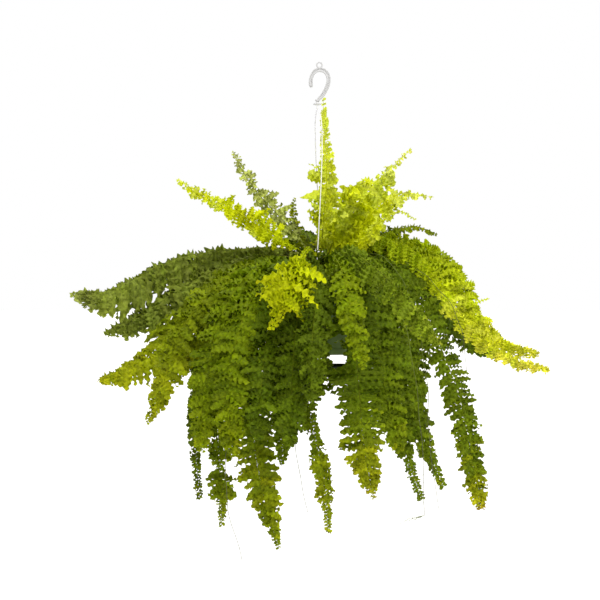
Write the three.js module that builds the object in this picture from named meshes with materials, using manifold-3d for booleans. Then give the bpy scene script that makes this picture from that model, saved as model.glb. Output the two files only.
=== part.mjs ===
// Fern in a hanging pot. Millimetres, +Z up, front towards -Y.
// The origin is the point inside the hook's crown that bears on whatever the
// plant hangs from, so everything below it has a negative Z.
import * as THREE from "three";
import { mergeVertices } from "three/addons/utils/BufferGeometryUtils.js";
import Module from "manifold-3d";

// ---- driving dimensions -------------------------------------------------
const HOOK_CROWN_Z = 4.6; // centre line of the crown over the bearing point
const HOOK_DEPTH = 6.4; // thickness of the hook along Y
const EYE_R = 5.2; // ring on the crown, centre line radius
const EYE_TUBE = 1.5;
const HUB_X = -5.6; // the shank leans, so the hub sits a little left
const HUB_TOP = -56; // top collar of the hub
const HUB_PLATE_TOP = -63.2; // plate that carries the arms
const HUB_PLATE_BOTTOM = -65.8;
const HUB_R = 7.6;
const ARM_HOLE_AT = 5.0; // radius of the ring of arm holes
const ARM_HOLE_R = 1.35;
const ARM_R = 0.9; // thin moulded arm
const RIM_Z = -386; // top of the pot
const RIM_R = 127; // outside of the lip
const WALL_TOP_R = 122; // outside of the wall under the lip
const BASE_R = 92; // outside of the pot at its base
const BASE_Z = -564;
const WALL = 2.0;
const FLOOR = 2.6;
const LUG_AT = 70; // three lugs under the base carry the saucer
const LUG_R = 5;
const SAUCER_RIM_R = 99;
const SAUCER_RIM_Z = -585.5;
const SAUCER_BASE_Z = -607.5;
const SAUCER_WALL = 2.0;
const SOIL_TOP_Z = -401.6;
const CROWN_R = 76;
const CROWN_TOP_Z = -386;
const RUNNER_R = 1.1;
const GAP = 0.4; // running clearance between pieces

// Azimuth of each arm from the front, positive towards +X.
const ARMS = [
  ["hanger_arm_front", -3.2],
  ["hanger_arm_back", 177.5],
];

// Midribs: name, tone, leaf width, then points from the rootstock to the tip.
const FRONDS = [
  ["frond_01", "lime", 54, [[0.9, 2.1, -383.2], [1.3, 3.8, -368.3], [2.5, 5.5, -350.1], [4.5, 7.2, -326.9], [7.2, 9.3, -297], [10.2, 11.6, -260.5], [13.1, 13.9, -217.3], [12.6, 15.7, -170.7], [8.4, 15.5, -114.1], [6.5, 13, -50.8]]],
  ["frond_02", "dusty", 52, [[-10, 1.7, -383.5], [-15, 6.4, -372.2], [-21.9, 11.9, -358.7], [-33.6, 18.1, -343], [-50.1, 25.5, -323.8], [-70.4, 33.6, -300], [-95.4, 43, -272.7], [-122.6, 51.6, -243.1], [-151.5, 57.8, -203], [-176.1, 63.1, -153.3]]],
  ["frond_03", "lime", 70, [[-15.3, -5.4, -383.9], [-24.2, -6.2, -372.4], [-36.6, -8.5, -359.9], [-55.1, -14.8, -348.4], [-79.6, -23, -334.7], [-109.7, -29.9, -316.8], [-144.4, -37, -294.1], [-183.5, -42.6, -271.8], [-233.8, -46.9, -249.8], [-285.4, -50.9, -216.6]]],
  ["frond_04", "olive", 36, [[-4.8, 19.8, -384.2], [-5.8, 23.1, -378], [-7, 27.1, -370.4], [-9.6, 32, -361], [-17.4, 37, -350.6], [-30.7, 41.5, -340.5], [-43.4, 46.2, -325.4], [-50.2, 50.2, -304.8], [-52.8, 53.4, -278.4], [-51.9, 55.7, -248.5]]],
  ["frond_05", "lime", 70, [[11.9, 10.6, -383.8], [19.1, 12.7, -372.8], [27.7, 15.5, -359.1], [37.5, 19.7, -341.1], [49.5, 25.2, -317.8], [64.2, 30.5, -289.1], [82.3, 35.5, -255.2], [107.9, 43, -223.3], [144.3, 49.3, -188.8], [186.2, 53.1, -150.9]]],
  ["frond_06", "lime", 66, [[19.3, 5.9, -384.2], [27.5, 6.2, -375.3], [37.4, 6.4, -364.5], [49.3, 5.4, -350], [63.6, 2.4, -330.8], [81.6, -1.4, -307.7], [104.2, -5.5, -281.6], [133.9, -9.3, -259.1], [176.8, -12.4, -245.4], [227.1, -15.1, -250.8]]],
  ["frond_07", "lime", 56, [[28.8, -21.4, -386.4], [34.6, -24.2, -379.1], [41.7, -27.8, -370.2], [51.7, -32.8, -359.9], [65.7, -40.1, -348.5], [83.1, -49.3, -335], [102.7, -59.3, -317.5], [124, -69.1, -298.1], [155.4, -78.4, -281.9], [187.3, -83.9, -298.9]]],
  ["frond_08", "green", 44, [[32.4, 21.2, -386.9], [39.4, 24.1, -378.6], [48.2, 27.4, -368.3], [60.4, 33.5, -357.3], [76.9, 44.4, -346.2], [97.9, 58.1, -334.5], [125, 71.8, -322.4], [156.5, 84.1, -312.4], [197.5, 94.1, -306.1], [240.9, 98.4, -322.2]]],
  ["frond_09", "lime", 80, [[8.3, -4.2, -383.4], [11.4, -5.7, -376.8], [15, -7.6, -368.7], [19.1, -9.6, -358.1], [23.2, -11.5, -344], [27.3, -13.2, -326.5], [32.7, -14.8, -305.8], [39.3, -16, -283.7], [50.9, -16, -258.2], [65.7, -14, -230.7]]],
  ["frond_10", "dusty", 84, [[-24, 35.7, -387.8], [-34, 39.5, -367.1], [-59.5, 41.3, -355.5], [-95.3, 42.5, -350], [-141.7, 42.4, -352.1], [-197.9, 34.7, -357.3], [-264, 25.9, -366.6], [-331.5, 17.4, -391], [-407.5, 9.8, -434.8], [-502.2, 5.8, -442]]],
  ["frond_11", "dusty", 84, [[-32, 29.5, -387.9], [-46.2, 26.8, -374.3], [-69, 21.7, -368.1], [-99.3, 14.8, -366], [-138.3, 7.3, -369.4], [-183.7, -1, -385.3], [-235.5, -9.4, -409.4], [-288.4, -16.5, -441.5], [-349.8, -21.6, -485.3], [-425.9, -23.2, -519.5]]],
  ["frond_12", "olive", 70, [[-37.5, 23.2, -388], [-55.3, 15.2, -376], [-78.9, 0.8, -371.5], [-109.2, -18.2, -369.4], [-148.3, -36, -384], [-191.5, -54, -415.1], [-237.4, -69.1, -460.6], [-284.2, -78.2, -514], [-346.9, -80.3, -573.7], [-435, -74.7, -613.3]]],
  ["frond_13", "olive", 64, [[-51.7, -52.9, -396.8], [-68.1, -63.3, -384.7], [-90, -79.2, -379.3], [-117.1, -102.3, -379.8], [-149.6, -132.1, -391], [-190.5, -157.7, -418.7], [-234.9, -175.9, -463.7], [-271.3, -184.7, -523.9], [-297.8, -182.7, -606], [-334.5, -174, -694.5]]],
  ["frond_14", "olive", 62, [[-57.2, -27.1, -393.2], [-69.6, -35, -384.2], [-85.5, -46.9, -377.5], [-104.5, -65.7, -378.9], [-127.4, -86.1, -394.5], [-153.5, -111.7, -415.7], [-184.4, -135.5, -446.8], [-216.5, -153.3, -486.2], [-249, -161.5, -542.1], [-276.8, -156.1, -609.4]]],
  ["frond_15", "gold", 100, [[-7.5, -68.9, -395.1], [-9.6, -77.9, -380.8], [-12.6, -97, -372.3], [-16, -123.2, -365.8], [-19.4, -157.3, -359], [-24.9, -199.5, -357.8], [-33.8, -247.3, -370.8], [-46, -293.8, -396], [-66.7, -334.8, -442.3], [-93, -345.8, -509.9]]],
  ["frond_16", "gold_lime", 84, [[29.8, 2, -385.4], [42.8, 0.2, -363.9], [66.3, -8.4, -346.6], [101.2, -22.8, -336.1], [148.7, -37.9, -340.9], [200.1, -49.6, -372.1], [244.1, -55.4, -429.7], [284.4, -55.1, -497.1], [353.2, -51, -561.8], [454.3, -47.5, -594.1]]],
  ["frond_17", "gold_lime", 76, [[43.2, 15, -388.4], [58.1, 18.4, -370.9], [80.6, 17.1, -353.7], [112.3, 10.4, -337.6], [157.8, 3, -335.2], [211.7, -5.4, -350.7], [262, -12.1, -394.1], [296.1, -14.2, -457.9], [348, -10.3, -528.1], [439.2, -5.1, -561.8]]],
  ["frond_18", "deep", 78, [[38.9, 35.1, -390], [51.8, 42.2, -375.7], [70.1, 54, -363.4], [94.2, 73, -354.2], [128.5, 95, -350.4], [173.9, 106.5, -367.9], [218, 114.1, -406.7], [253.7, 117.7, -459.7], [295.9, 118, -524.9], [369.9, 114.9, -564.9]]],
  ["frond_19", "deep", 62, [[36.2, 14.7, -387], [57.5, 3.3, -369.4], [84.9, -20.8, -364.8], [119.9, -51.6, -369.1], [160.6, -80.8, -401.8], [197, -98.5, -463.1], [232.3, -108.1, -542.3], [265.5, -111.3, -630.2], [291.4, -105.7, -741.1], [314.1, -94.9, -866.3]]],
  ["frond_20", "deep", 64, [[34.8, -27.5, -388.1], [49.6, -43.3, -371.8], [66.6, -71.5, -369.1], [86.7, -108, -376.2], [110.7, -142.5, -409.3], [130.4, -161.6, -470], [141.6, -171, -547.6], [150.9, -173.7, -632], [160.4, -169.3, -734.7], [195.1, -162.1, -843.9]]],
  ["frond_21", "deep", 60, [[35.8, -9.3, -386.6], [52.9, -22.5, -371.3], [73.9, -46.9, -367.7], [99.9, -79.2, -370.6], [129.9, -110.1, -399.6], [152.1, -125.5, -459], [166.3, -133.4, -534.5], [178.4, -137.3, -616.7], [196.7, -135.1, -716], [239.1, -126.8, -819.9]]],
  ["frond_22", "green", 66, [[26.2, -46.1, -390.2], [36.3, -59.8, -375.4], [47.5, -84, -371], [59.3, -116.6, -376.3], [75.1, -154, -395.5], [88.2, -183.4, -439.5], [100.2, -201.7, -500.8], [111.7, -210.1, -569.5], [126.8, -211.7, -653.4], [151.6, -204.5, -745.1]]],
  ["frond_23", "green", 80, [[20.4, -71.1, -396.8], [27.8, -91.3, -381.6], [34.5, -122.5, -379.3], [43.1, -161.2, -390.7], [53.1, -208.2, -412.2], [58.5, -239.2, -468.1], [63.5, -254.9, -542.8], [71.3, -259.5, -624.9], [80.2, -255.2, -724.6], [98.7, -244.4, -834.5]]],
  ["frond_24", "green", 50, [[-8.3, -73.5, -396.8], [-13, -95.8, -380.4], [-17.6, -129.4, -380.9], [-16, -167.2, -402.9], [-23.6, -201.8, -445.9], [-30.1, -222.1, -511.4], [-29.1, -229.3, -592.8], [-19.7, -229.2, -680.2], [3.4, -220.4, -784.1], [13.8, -209.1, -901.8]]],
  ["frond_25", "green", 78, [[-44.8, -58.9, -396.8], [-57.8, -79.9, -380.7], [-72.1, -113.2, -384.2], [-87.1, -149, -410.5], [-105.2, -187.7, -452.4], [-120.9, -210.6, -520.4], [-129.9, -219.1, -606.8], [-129.5, -221.3, -700.8], [-112.6, -215.5, -813.3], [-78.5, -204.9, -935.9]]],
  ["frond_26", "green", 64, [[-26, -62, -394.5], [-32.9, -78.1, -379.5], [-39.9, -104.2, -375.2], [-45.7, -137.3, -386.3], [-52.1, -174.5, -412.7], [-63, -208.7, -455.4], [-72, -232, -516.8], [-74, -243.5, -587.5], [-69.3, -247.4, -674.2], [-75.4, -244.2, -770.9]]],
  ["frond_27", "green", 58, [[-33.4, -38.3, -389.6], [-51, -56.4, -375.4], [-73.9, -84.1, -374.9], [-101.5, -117.1, -389.5], [-134.6, -150.6, -424.2], [-167.2, -172.7, -484.2], [-188.1, -185.7, -565.6], [-197.2, -191.4, -656.6], [-194.2, -188.7, -767.8], [-190, -180.4, -892]]],
  ["frond_28", "deep", 48, [[-44.8, 2.2, -388.2], [-65, -10.8, -374.7], [-91.4, -32.5, -372.4], [-126.4, -57.6, -376.4], [-166.3, -82.3, -406.3], [-201.3, -104.5, -460.3], [-224.2, -117.2, -536.8], [-235.4, -124.1, -623], [-242.9, -125.2, -728.7], [-234.8, -119.3, -846.3]]],
  ["frond_29", "bright", 66, [[-37.4, -63.8, -396.8], [-49.2, -79.6, -382.4], [-66.1, -101.9, -373.5], [-88.7, -132.4, -374.1], [-117.7, -168.6, -388.7], [-151.9, -203.9, -421.6], [-185.6, -226.4, -478.8], [-207.3, -237.7, -550.6], [-222.9, -242.8, -641.3], [-226.3, -239.2, -744.1]]],
  ["frond_30", "bright", 66, [[-25.1, -69.6, -396.8], [-36.4, -88.2, -385.6], [-51.1, -113.2, -380.3], [-67.1, -147.7, -383.6], [-88, -189.8, -396.6], [-115.7, -232.9, -426.8], [-144.3, -264.6, -482.7], [-164.2, -277.6, -554.9], [-173.5, -282.4, -646.6], [-164.9, -278.8, -749.5]]],
  ["frond_31", "deep", 64, [[-19.1, -71.5, -396.8], [-25.8, -89.7, -383.8], [-33.8, -114.5, -372.6], [-44.3, -149.2, -370.8], [-58.4, -193.1, -378.5], [-73.2, -241, -405], [-89.5, -271.9, -462.5], [-103.1, -290.8, -531.4], [-112.4, -300.2, -618.8], [-120.2, -297, -717.3]]],
  ["frond_32", "deep", 64, [[-13.5, -72.8, -396.8], [-19.3, -93.2, -387.7], [-25.8, -119.4, -380.4], [-30.4, -154.9, -383.6], [-33.9, -199.4, -395.6], [-38.9, -249.5, -420.5], [-43.2, -285.4, -476.2], [-51, -305.1, -544.8], [-55.4, -314.2, -631.6], [-58.4, -310.7, -729.2]]],
  ["frond_33", "deep", 66, [[-0.7, -74, -396.8], [-0.1, -92.2, -388.5], [-0, -115, -380.4], [-2, -146, -379.6], [-3.4, -185.4, -385.8], [-4.7, -232, -400.3], [-8.4, -279.8, -431.5], [-13.5, -311, -484.7], [-18.9, -328.7, -557.9], [-20.3, -332.4, -642]]],
  ["frond_34", "silver", 72, [[18.6, -50.6, -390.4], [22.6, -62, -374.2], [29.1, -84.3, -365.8], [37, -114.8, -360.6], [47.1, -154.3, -357.5], [60.9, -202, -363.8], [87.3, -250.7, -384], [122, -294.5, -414.5], [167.4, -328.5, -466.5], [216.3, -339, -537]]],
  ["frond_35", "bright", 54, [[14, -72.7, -396.8], [17.3, -87.5, -385], [21.6, -107.5, -374.3], [24.5, -137.1, -371.2], [25.4, -175.4, -372.6], [30, -221.4, -380.8], [37.4, -273.4, -398.2], [48.3, -314.6, -439.4], [61.8, -338.7, -506.1], [78.4, -347.1, -584.9]]],
  ["frond_36", "silver", 66, [[38.9, 26.9, -388.8], [48.8, 26.6, -380.3], [61.4, 26.9, -370.7], [79.2, 29.7, -361.3], [102.9, 34.9, -352.1], [134, 39.8, -348.4], [170.4, 43.7, -356.4], [203, 46.7, -379.9], [230.2, 48.5, -420.7], [256.4, 48.5, -469.1]]],
  ["frond_37", "green", 56, [[7.2, -54.4, -390.7], [11.1, -66.2, -379], [14.3, -83.7, -369.7], [13.4, -110, -372.2], [13.1, -141.4, -384.9], [10.8, -177, -406.4], [4.8, -212.7, -439.1], [-0.9, -236.8, -485.8], [-3.3, -249, -548.7], [20.9, -236.3, -613.8]]],
  ["frond_38", "deep", 70, [[34.5, 42.7, -390.7], [46.1, 50.8, -376.5], [60.4, 65.2, -363.5], [76.5, 90, -353.4], [97, 122.9, -343.8], [125, 162.8, -341], [170.7, 194.6, -354.2], [213, 216.9, -392.8], [248.6, 230.2, -457.9], [270.4, 231.9, -539.4]]],
  ["frond_39", "green", 68, [[34.8, 53.1, -393.2], [51.3, 68.3, -378.8], [67.2, 96.3, -373.5], [83.9, 134.6, -371.4], [106.5, 183.2, -368.1], [145.8, 232.7, -382.5], [186.5, 269.2, -435.7], [206.8, 285.5, -514.7], [211.7, 290.7, -615.9], [202.2, 287.6, -729]]],
  ["frond_40", "deep", 66, [[19.8, 48.2, -390], [32.3, 63.2, -372.3], [43.6, 91.4, -362.5], [54, 130.8, -356.9], [67.6, 181.7, -354.2], [88.9, 241.4, -363.5], [118.4, 290.6, -411.9], [137.5, 311.8, -488.6], [144, 317.9, -587.9], [134.5, 314.2, -698.7]]],
  ["frond_41", "green", 62, [[3.4, 51.6, -389.9], [12.7, 70.6, -371.9], [19.7, 102.9, -364.3], [26, 145.7, -360], [35.6, 200.8, -357.9], [51.8, 264.9, -371.9], [73, 316.7, -428.3], [82.7, 334.6, -512.6], [85.3, 341, -618], [85.5, 338.2, -736.1]]],
  ["frond_42", "bright", 66, [[11.4, 26.1, -385.2], [15.2, 40.7, -369.7], [18.8, 62, -354.5], [22, 92.4, -340.2], [25.6, 132.4, -323.9], [31.1, 182.8, -308.6], [39.1, 244.3, -307.8], [45.4, 303.8, -337.5], [47.6, 347.8, -405.3], [45.4, 364.4, -495]]],
  ["frond_43", "green", 66, [[-5.8, 28.5, -385.3], [-9.9, 46.9, -365.4], [-14.1, 76, -349.7], [-18.4, 116.1, -335.7], [-24.6, 168.6, -320.9], [-36.1, 233.9, -313], [-45.9, 306.1, -341.3], [-52.6, 352.7, -411.3], [-55.1, 369.4, -513.3], [-58, 370.6, -629.1]]],
  ["frond_44", "deep", 66, [[1.8, 59.8, -392.1], [-4.6, 79.3, -373.5], [-10.9, 111.9, -365.7], [-17.9, 154.6, -360.9], [-28.4, 209.5, -358.6], [-45.8, 272, -376.3], [-65.1, 314.9, -440.7], [-76.7, 332.8, -525], [-86.4, 339.1, -630.2], [-90, 336.1, -748.3]]],
  ["frond_45", "green", 68, [[-15.7, 53.9, -391], [-25.1, 72.7, -373.1], [-36.1, 103.8, -365.8], [-48.9, 145, -361.8], [-67.1, 197.6, -360.5], [-98.9, 252.7, -380.8], [-131.7, 288.5, -443.4], [-149.2, 303.5, -526.7], [-157.2, 308.2, -631.4], [-144.2, 305.2, -748.2]]],
  ["frond_46", "green", 66, [[-27.3, 43.5, -389.8], [-39.3, 59.3, -371.5], [-55, 86.8, -362.6], [-73.9, 124.2, -357.2], [-100.5, 171.4, -356.3], [-144.4, 216, -375.2], [-187.6, 246, -431.6], [-209.5, 260, -511.6], [-221.1, 265, -613.3], [-222, 262.2, -727.8]]],
  ["frond_47", "olive", 68, [[-42.2, 40.5, -391.7], [-54.7, 52.9, -377.1], [-71.9, 73.7, -370.6], [-92.9, 102.3, -368.5], [-121.4, 138.2, -367.1], [-164.3, 172.6, -374.3], [-218.9, 196.6, -402], [-264.6, 212.1, -453.8], [-296.8, 219.6, -533.6], [-323.9, 217.4, -626.3]]],
  ["frond_48", "dusty", 70, [[-46, 23.6, -389.9], [-52.7, 33.1, -373.5], [-68.7, 48.2, -364.1], [-92, 68.2, -358.9], [-124.2, 91.6, -354.5], [-167.6, 113.6, -355.5], [-222.5, 128.8, -365.1], [-281.1, 139.7, -383], [-350.2, 147.3, -412.6], [-424, 148.3, -453.6]]],
];

const RUNNERS = [
  ["runner_01", [[22.3, -39.5, -388.9], [33, -56.2, -370.4], [40.6, -86.7, -366.6], [43.4, -124.4, -384.2], [28, -142.5, -431.8], [1.7, -150, -492.4], [-23.1, -152.7, -566.8], [-40.2, -152.8, -649.7], [-47.3, -153.2, -751.8], [-24.6, -153.4, -864.4]]],
  ["runner_02", [[-30.8, -67.3, -397.4], [-45.3, -89.2, -378.1], [-66.3, -122.4, -376.8], [-93.3, -163, -391.3], [-123.4, -205.5, -429.7], [-146.9, -234, -500.3], [-163.5, -243.9, -592.8], [-173.4, -245, -694.2], [-180.5, -242, -817.7], [-150.2, -240.8, -950.3]]],
  ["runner_03", [[39.1, -59.9, -396.5], [50.6, -77.5, -377.2], [67.4, -105.3, -367.4], [90.2, -142, -376.6], [121.1, -174.6, -410.6], [150.3, -193.9, -470.9], [170.3, -202.6, -550.5], [184.4, -206.4, -638.3], [193.3, -206.3, -746], [198.8, -206.2, -866.7]]],
  ["runner_04", [[46.7, -9, -389.4], [62.9, -23.7, -370.7], [87.9, -46.8, -364.4], [120.8, -76.3, -370.8], [152.3, -109.5, -404.3], [176.9, -132.3, -465.8], [196.7, -139.3, -546.4], [206.7, -143.9, -635.4], [211.6, -146.1, -744.1], [229.7, -147, -864.2]]],
  ["runner_05", [[44, 7.2, -388.8], [56.8, 8.2, -375], [76.2, 1.2, -367.2], [101, -14.2, -365.8], [132.3, -34.6, -368.6], [169.4, -57.4, -382.5], [210.3, -78.2, -411], [248.8, -83.7, -454.2], [277.7, -86.7, -518.5], [287, -86.7, -596.9]]],
];

// ---- materials ----------------------------------------------------------
const material = (hex, roughness, metalness = 0, extra = {}) =>
  new THREE.MeshStandardMaterial({
    color: hex,
    roughness,
    metalness,
    ...extra,
  });
const LEAF = {
  lime: material(0xa9b81e, 0.6),
  gold_lime: material(0x9aa81a, 0.6),
  bright: material(0x7c8c14, 0.6),
  dusty: material(0x5c6b22, 0.65),
  olive: material(0x6f7d12, 0.62),
  green: material(0x4f6a0a, 0.6),
  deep: material(0x3c5206, 0.6),
  gold: material(0xc0b416, 0.6),
  silver: material(0x66802c, 0.5),
};
const CLEAR = material(0xe9ebe8, 0.3, 0, { transparent: true, opacity: 0.8 });
const POT = material(0x3b4038, 0.55);
const SAUCER = material(0x2b2f29, 0.5);
const SOIL = material(0x33261b, 0.95);
const ROOT = material(0x4b3a22, 0.9);
const RUNNER = material(0x7a7568, 0.8);

const wasm = await Module();
wasm.setup();

function solid(geometry) {
  let g = geometry.clone();
  g.deleteAttribute("normal");
  g.deleteAttribute("uv");
  g = mergeVertices(g, 1e-4);
  return new wasm.Manifold(
    new wasm.Mesh({
      numProp: 3,
      vertProperties: new Float32Array(g.attributes.position.array),
      triVerts: new Uint32Array(g.index.array),
    }),
  );
}

function geometryOf(manifold) {
  const m = manifold.getMesh();
  const position = new Float32Array(m.numVert * 3);
  for (let i = 0; i < m.numVert; i++)
    for (let k = 0; k < 3; k++)
      position[i * 3 + k] = m.vertProperties[i * m.numProp + k];
  const g = new THREE.BufferGeometry();
  g.setAttribute("position", new THREE.BufferAttribute(position, 3));
  g.setIndex(new THREE.BufferAttribute(new Uint32Array(m.triVerts), 1));
  g.computeVertexNormals();
  return g;
}

// Skin over a list of closed rings with the same number of points, capped at
// both ends. Rings run anticlockwise seen from the end they lead to.
function loft(rings) {
  const n = rings[0].length;
  const vertices = rings.flat();
  const index = [];
  for (let r = 0; r + 1 < rings.length; r++)
    for (let i = 0; i < n; i++) {
      const a = r * n + i;
      const b = r * n + ((i + 1) % n);
      index.push(a, b, b + n, a, b + n, a + n);
    }
  const last = (rings.length - 1) * n;
  for (let i = 1; i + 1 < n; i++) {
    index.push(0, i + 1, i);
    index.push(last, last + i, last + i + 1);
  }
  const g = new THREE.BufferGeometry().setFromPoints(vertices);
  g.setIndex(index);
  g.computeVertexNormals();
  return g;
}

const UP = new THREE.Vector3(0, 0, 1);
const vector = (p) => new THREE.Vector3(p[0], p[1], p[2]);

// Sideways direction of a rib: square to the vertical plane that it arches in.
function sideOf(points) {
  const a = points[0];
  const b = points[6];
  const run = new THREE.Vector3(b.x - a.x, b.y - a.y, 0);
  if (run.length() < 40) return new THREE.Vector3(1, 0, 0);
  return run.normalize().cross(UP);
}

const smooth = (t) => {
  const c = Math.min(1, Math.max(0, t));
  return c * c * (3 - 2 * c);
};

// One frond: a bare stalk that widens into a blade with a toothed edge, its
// two halves drooping a little from the midrib.
function frond(points, width) {
  const nodes = points.map(vector);
  const curve = new THREE.CatmullRomCurve3(nodes, false, "centripetal");
  const length = curve.getLength();
  const side = sideOf(nodes);
  const stalk = Math.min(0.22, 60 / length);
  const steps = Math.max(8, Math.round(length / 27));
  const rings = [];
  for (let i = 0; i <= steps; i++) {
    const u = i / steps;
    const at = curve.getPointAt(u);
    const along = curve.getTangentAt(u);
    const across = side
      .clone()
      .addScaledVector(along, -side.dot(along))
      .normalize();
    const face = across.clone().cross(along).normalize();
    const grown = smooth((u - 0.5 * stalk) / (1.35 * stalk));
    const taper = Math.min(1, Math.max(0, (1 - u) / 0.45)) ** 0.8;
    const tooth = i % 2 ? 1 : 0.66;
    const half = Math.max(2.4, 0.19 * width * grown * taper * tooth + 1.2);
    const thick = 1.1 + 1.1 * (1 - u);
    const droop = 0.3 * Math.max(0, half - 2.4);
    rings.push([
      at.clone().addScaledVector(face, thick),
      at.clone().addScaledVector(across, half).addScaledVector(face, -droop),
      at.clone().addScaledVector(face, -thick),
      at.clone().addScaledVector(across, -half).addScaledVector(face, -droop),
    ]);
  }
  return loft(rings);
}

// A round rod of radius r along the points.
function rod(points, r, sides, steps) {
  const nodes = points.map(vector);
  const curve = new THREE.CatmullRomCurve3(nodes, false, "centripetal");
  const section = new THREE.Shape(
    Array.from({ length: sides }, (_, i) => {
      const a = (i / sides) * Math.PI * 2;
      return new THREE.Vector2(r * Math.cos(a), r * Math.sin(a));
    }),
  );
  return new THREE.ExtrudeGeometry(section, {
    steps,
    extrudePath: curve,
    bevelEnabled: false,
  });
}

const root = new THREE.Group();
root.name = "hanging_fern";
function add(name, geometry, mat, parent = root) {
  const mesh = new THREE.Mesh(geometry, mat);
  mesh.name = name;
  parent.add(mesh);
  return mesh;
}

// ---- hook ---------------------------------------------------------------
// Centre line of the flat moulded hook in the XZ plane, from its tip over the
// crown and down the leaning shank, with its half width at each point.
const HOOK = [
  [-16.2, -30.6, 2.4],
  [-18.2, -27.0, 3.6],
  [-18.6, -21.0, 4.0],
  [-17.6, -12.0, 3.5],
  [-14.4, -4.0, 3.6],
  [-8.4, 2.4, 4.3],
  [0, 4.6, 4.6],
  [8.6, 2.2, 4.5],
  [14.8, -5.0, 4.2],
  [17.2, -14.5, 4.1],
  [15.6, -25.5, 4.1],
  [11.2, -36.0, 4.2],
  [5.4, -46.0, 3.9],
  [-1.0, -53.0, 3.4],
  [-5.0, -58.0, 3.1],
];
function hookGeometry() {
  const line = new THREE.CatmullRomCurve3(
    HOOK.map(([x, z]) => new THREE.Vector3(x, 0, z)),
    false,
    "centripetal",
  );
  const widths = new THREE.CatmullRomCurve3(
    HOOK.map(([, , w], i) => new THREE.Vector3(i, w, 0)),
  );
  const steps = 32;
  const out = new THREE.Vector3(0, 1, 0);
  const rings = [];
  for (let i = 0; i <= steps; i++) {
    const t = i / steps;
    const at = line.getPoint(t);
    const along = line.getTangent(t);
    const normal = along.clone().cross(out).normalize();
    const w = widths.getPoint(t).y;
    const d = HOOK_DEPTH / 2;
    // rounded bar section
    const ring = [
      [1, 0.45],
      [0.72, 1],
      [-0.72, 1],
      [-1, 0.45],
      [-1, -0.45],
      [-0.72, -1],
      [0.72, -1],
      [1, -0.45],
    ];
    rings.push(
      ring.map(([a, b]) =>
        at
          .clone()
          .addScaledVector(normal, -a * w)
          .addScaledVector(out, b * d),
      ),
    );
  }
  return loft(rings);
}

const flip = (g) => g.rotateX(Math.PI / 2); // a lathe's or cylinder's Y to +Z

let hook = solid(hookGeometry());
const eye = new THREE.TorusGeometry(EYE_R, EYE_TUBE, 6, 16);
eye.rotateX(Math.PI / 2);
eye.translate(-1.2, 0, HOOK_CROWN_Z + 4.2 + EYE_R);
hook = hook.add(solid(eye));
const hubProfile = [
  [0, HUB_PLATE_BOTTOM],
  [HUB_R, HUB_PLATE_BOTTOM],
  [HUB_R, HUB_PLATE_TOP],
  [2.6, HUB_PLATE_TOP],
  [2.6, HUB_TOP - 2.2],
  [4.6, HUB_TOP - 1.8],
  [4.6, HUB_TOP],
  [3.0, HUB_TOP + 1.4],
  [0, HUB_TOP + 1.6],
].map(([r, z]) => new THREE.Vector2(r, z));
const hub = flip(new THREE.LatheGeometry(hubProfile, 18));
hub.translate(HUB_X, 0, 0);
hook = hook.add(solid(hub));
for (const [, azimuth] of ARMS) {
  const a = THREE.MathUtils.degToRad(azimuth);
  const hole = flip(new THREE.CylinderGeometry(ARM_HOLE_R, ARM_HOLE_R, 6, 8));
  hole.translate(
    HUB_X + ARM_HOLE_AT * Math.sin(a),
    -ARM_HOLE_AT * Math.cos(a),
    (HUB_PLATE_TOP + HUB_PLATE_BOTTOM) / 2,
  );
  hook = hook.subtract(solid(hole));
}
add("hanger_hook", geometryOf(hook), CLEAR);

// ---- arms ---------------------------------------------------------------
// Each arm passes through the hub plate, where its head stops it, runs down to
// the rim and ends in a clip that grips the lip from inside and outside.
const CLIP_W = 11;
function clipGeometry() {
  // section in the radial plane: x is the radius, y is the height
  const r = RIM_R + GAP;
  const top = RIM_Z + GAP;
  const inner = WALL_TOP_R - WALL - 3 * GAP;
  const s = new THREE.Shape(
    [
      [inner, top],
      [r, top],
      [r, RIM_Z - 7.4],
      [WALL_TOP_R + 1.6, RIM_Z - 7.4],
      [WALL_TOP_R + 1.6, RIM_Z - 9.2],
      [r + 2.4, RIM_Z - 9.2],
      [r + 2.4, top + 2.6],
      [inner - 2.2, top + 2.6],
      [inner - 2.2, RIM_Z - 9],
      [inner, RIM_Z - 9],
    ].map(([x, y]) => new THREE.Vector2(x, y)),
  );
  const g = new THREE.ExtrudeGeometry(s, { depth: CLIP_W, bevelEnabled: false });
  g.translate(0, 0, -CLIP_W / 2);
  g.rotateX(Math.PI / 2); // section into the XZ plane, width along Y
  return g;
}
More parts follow.
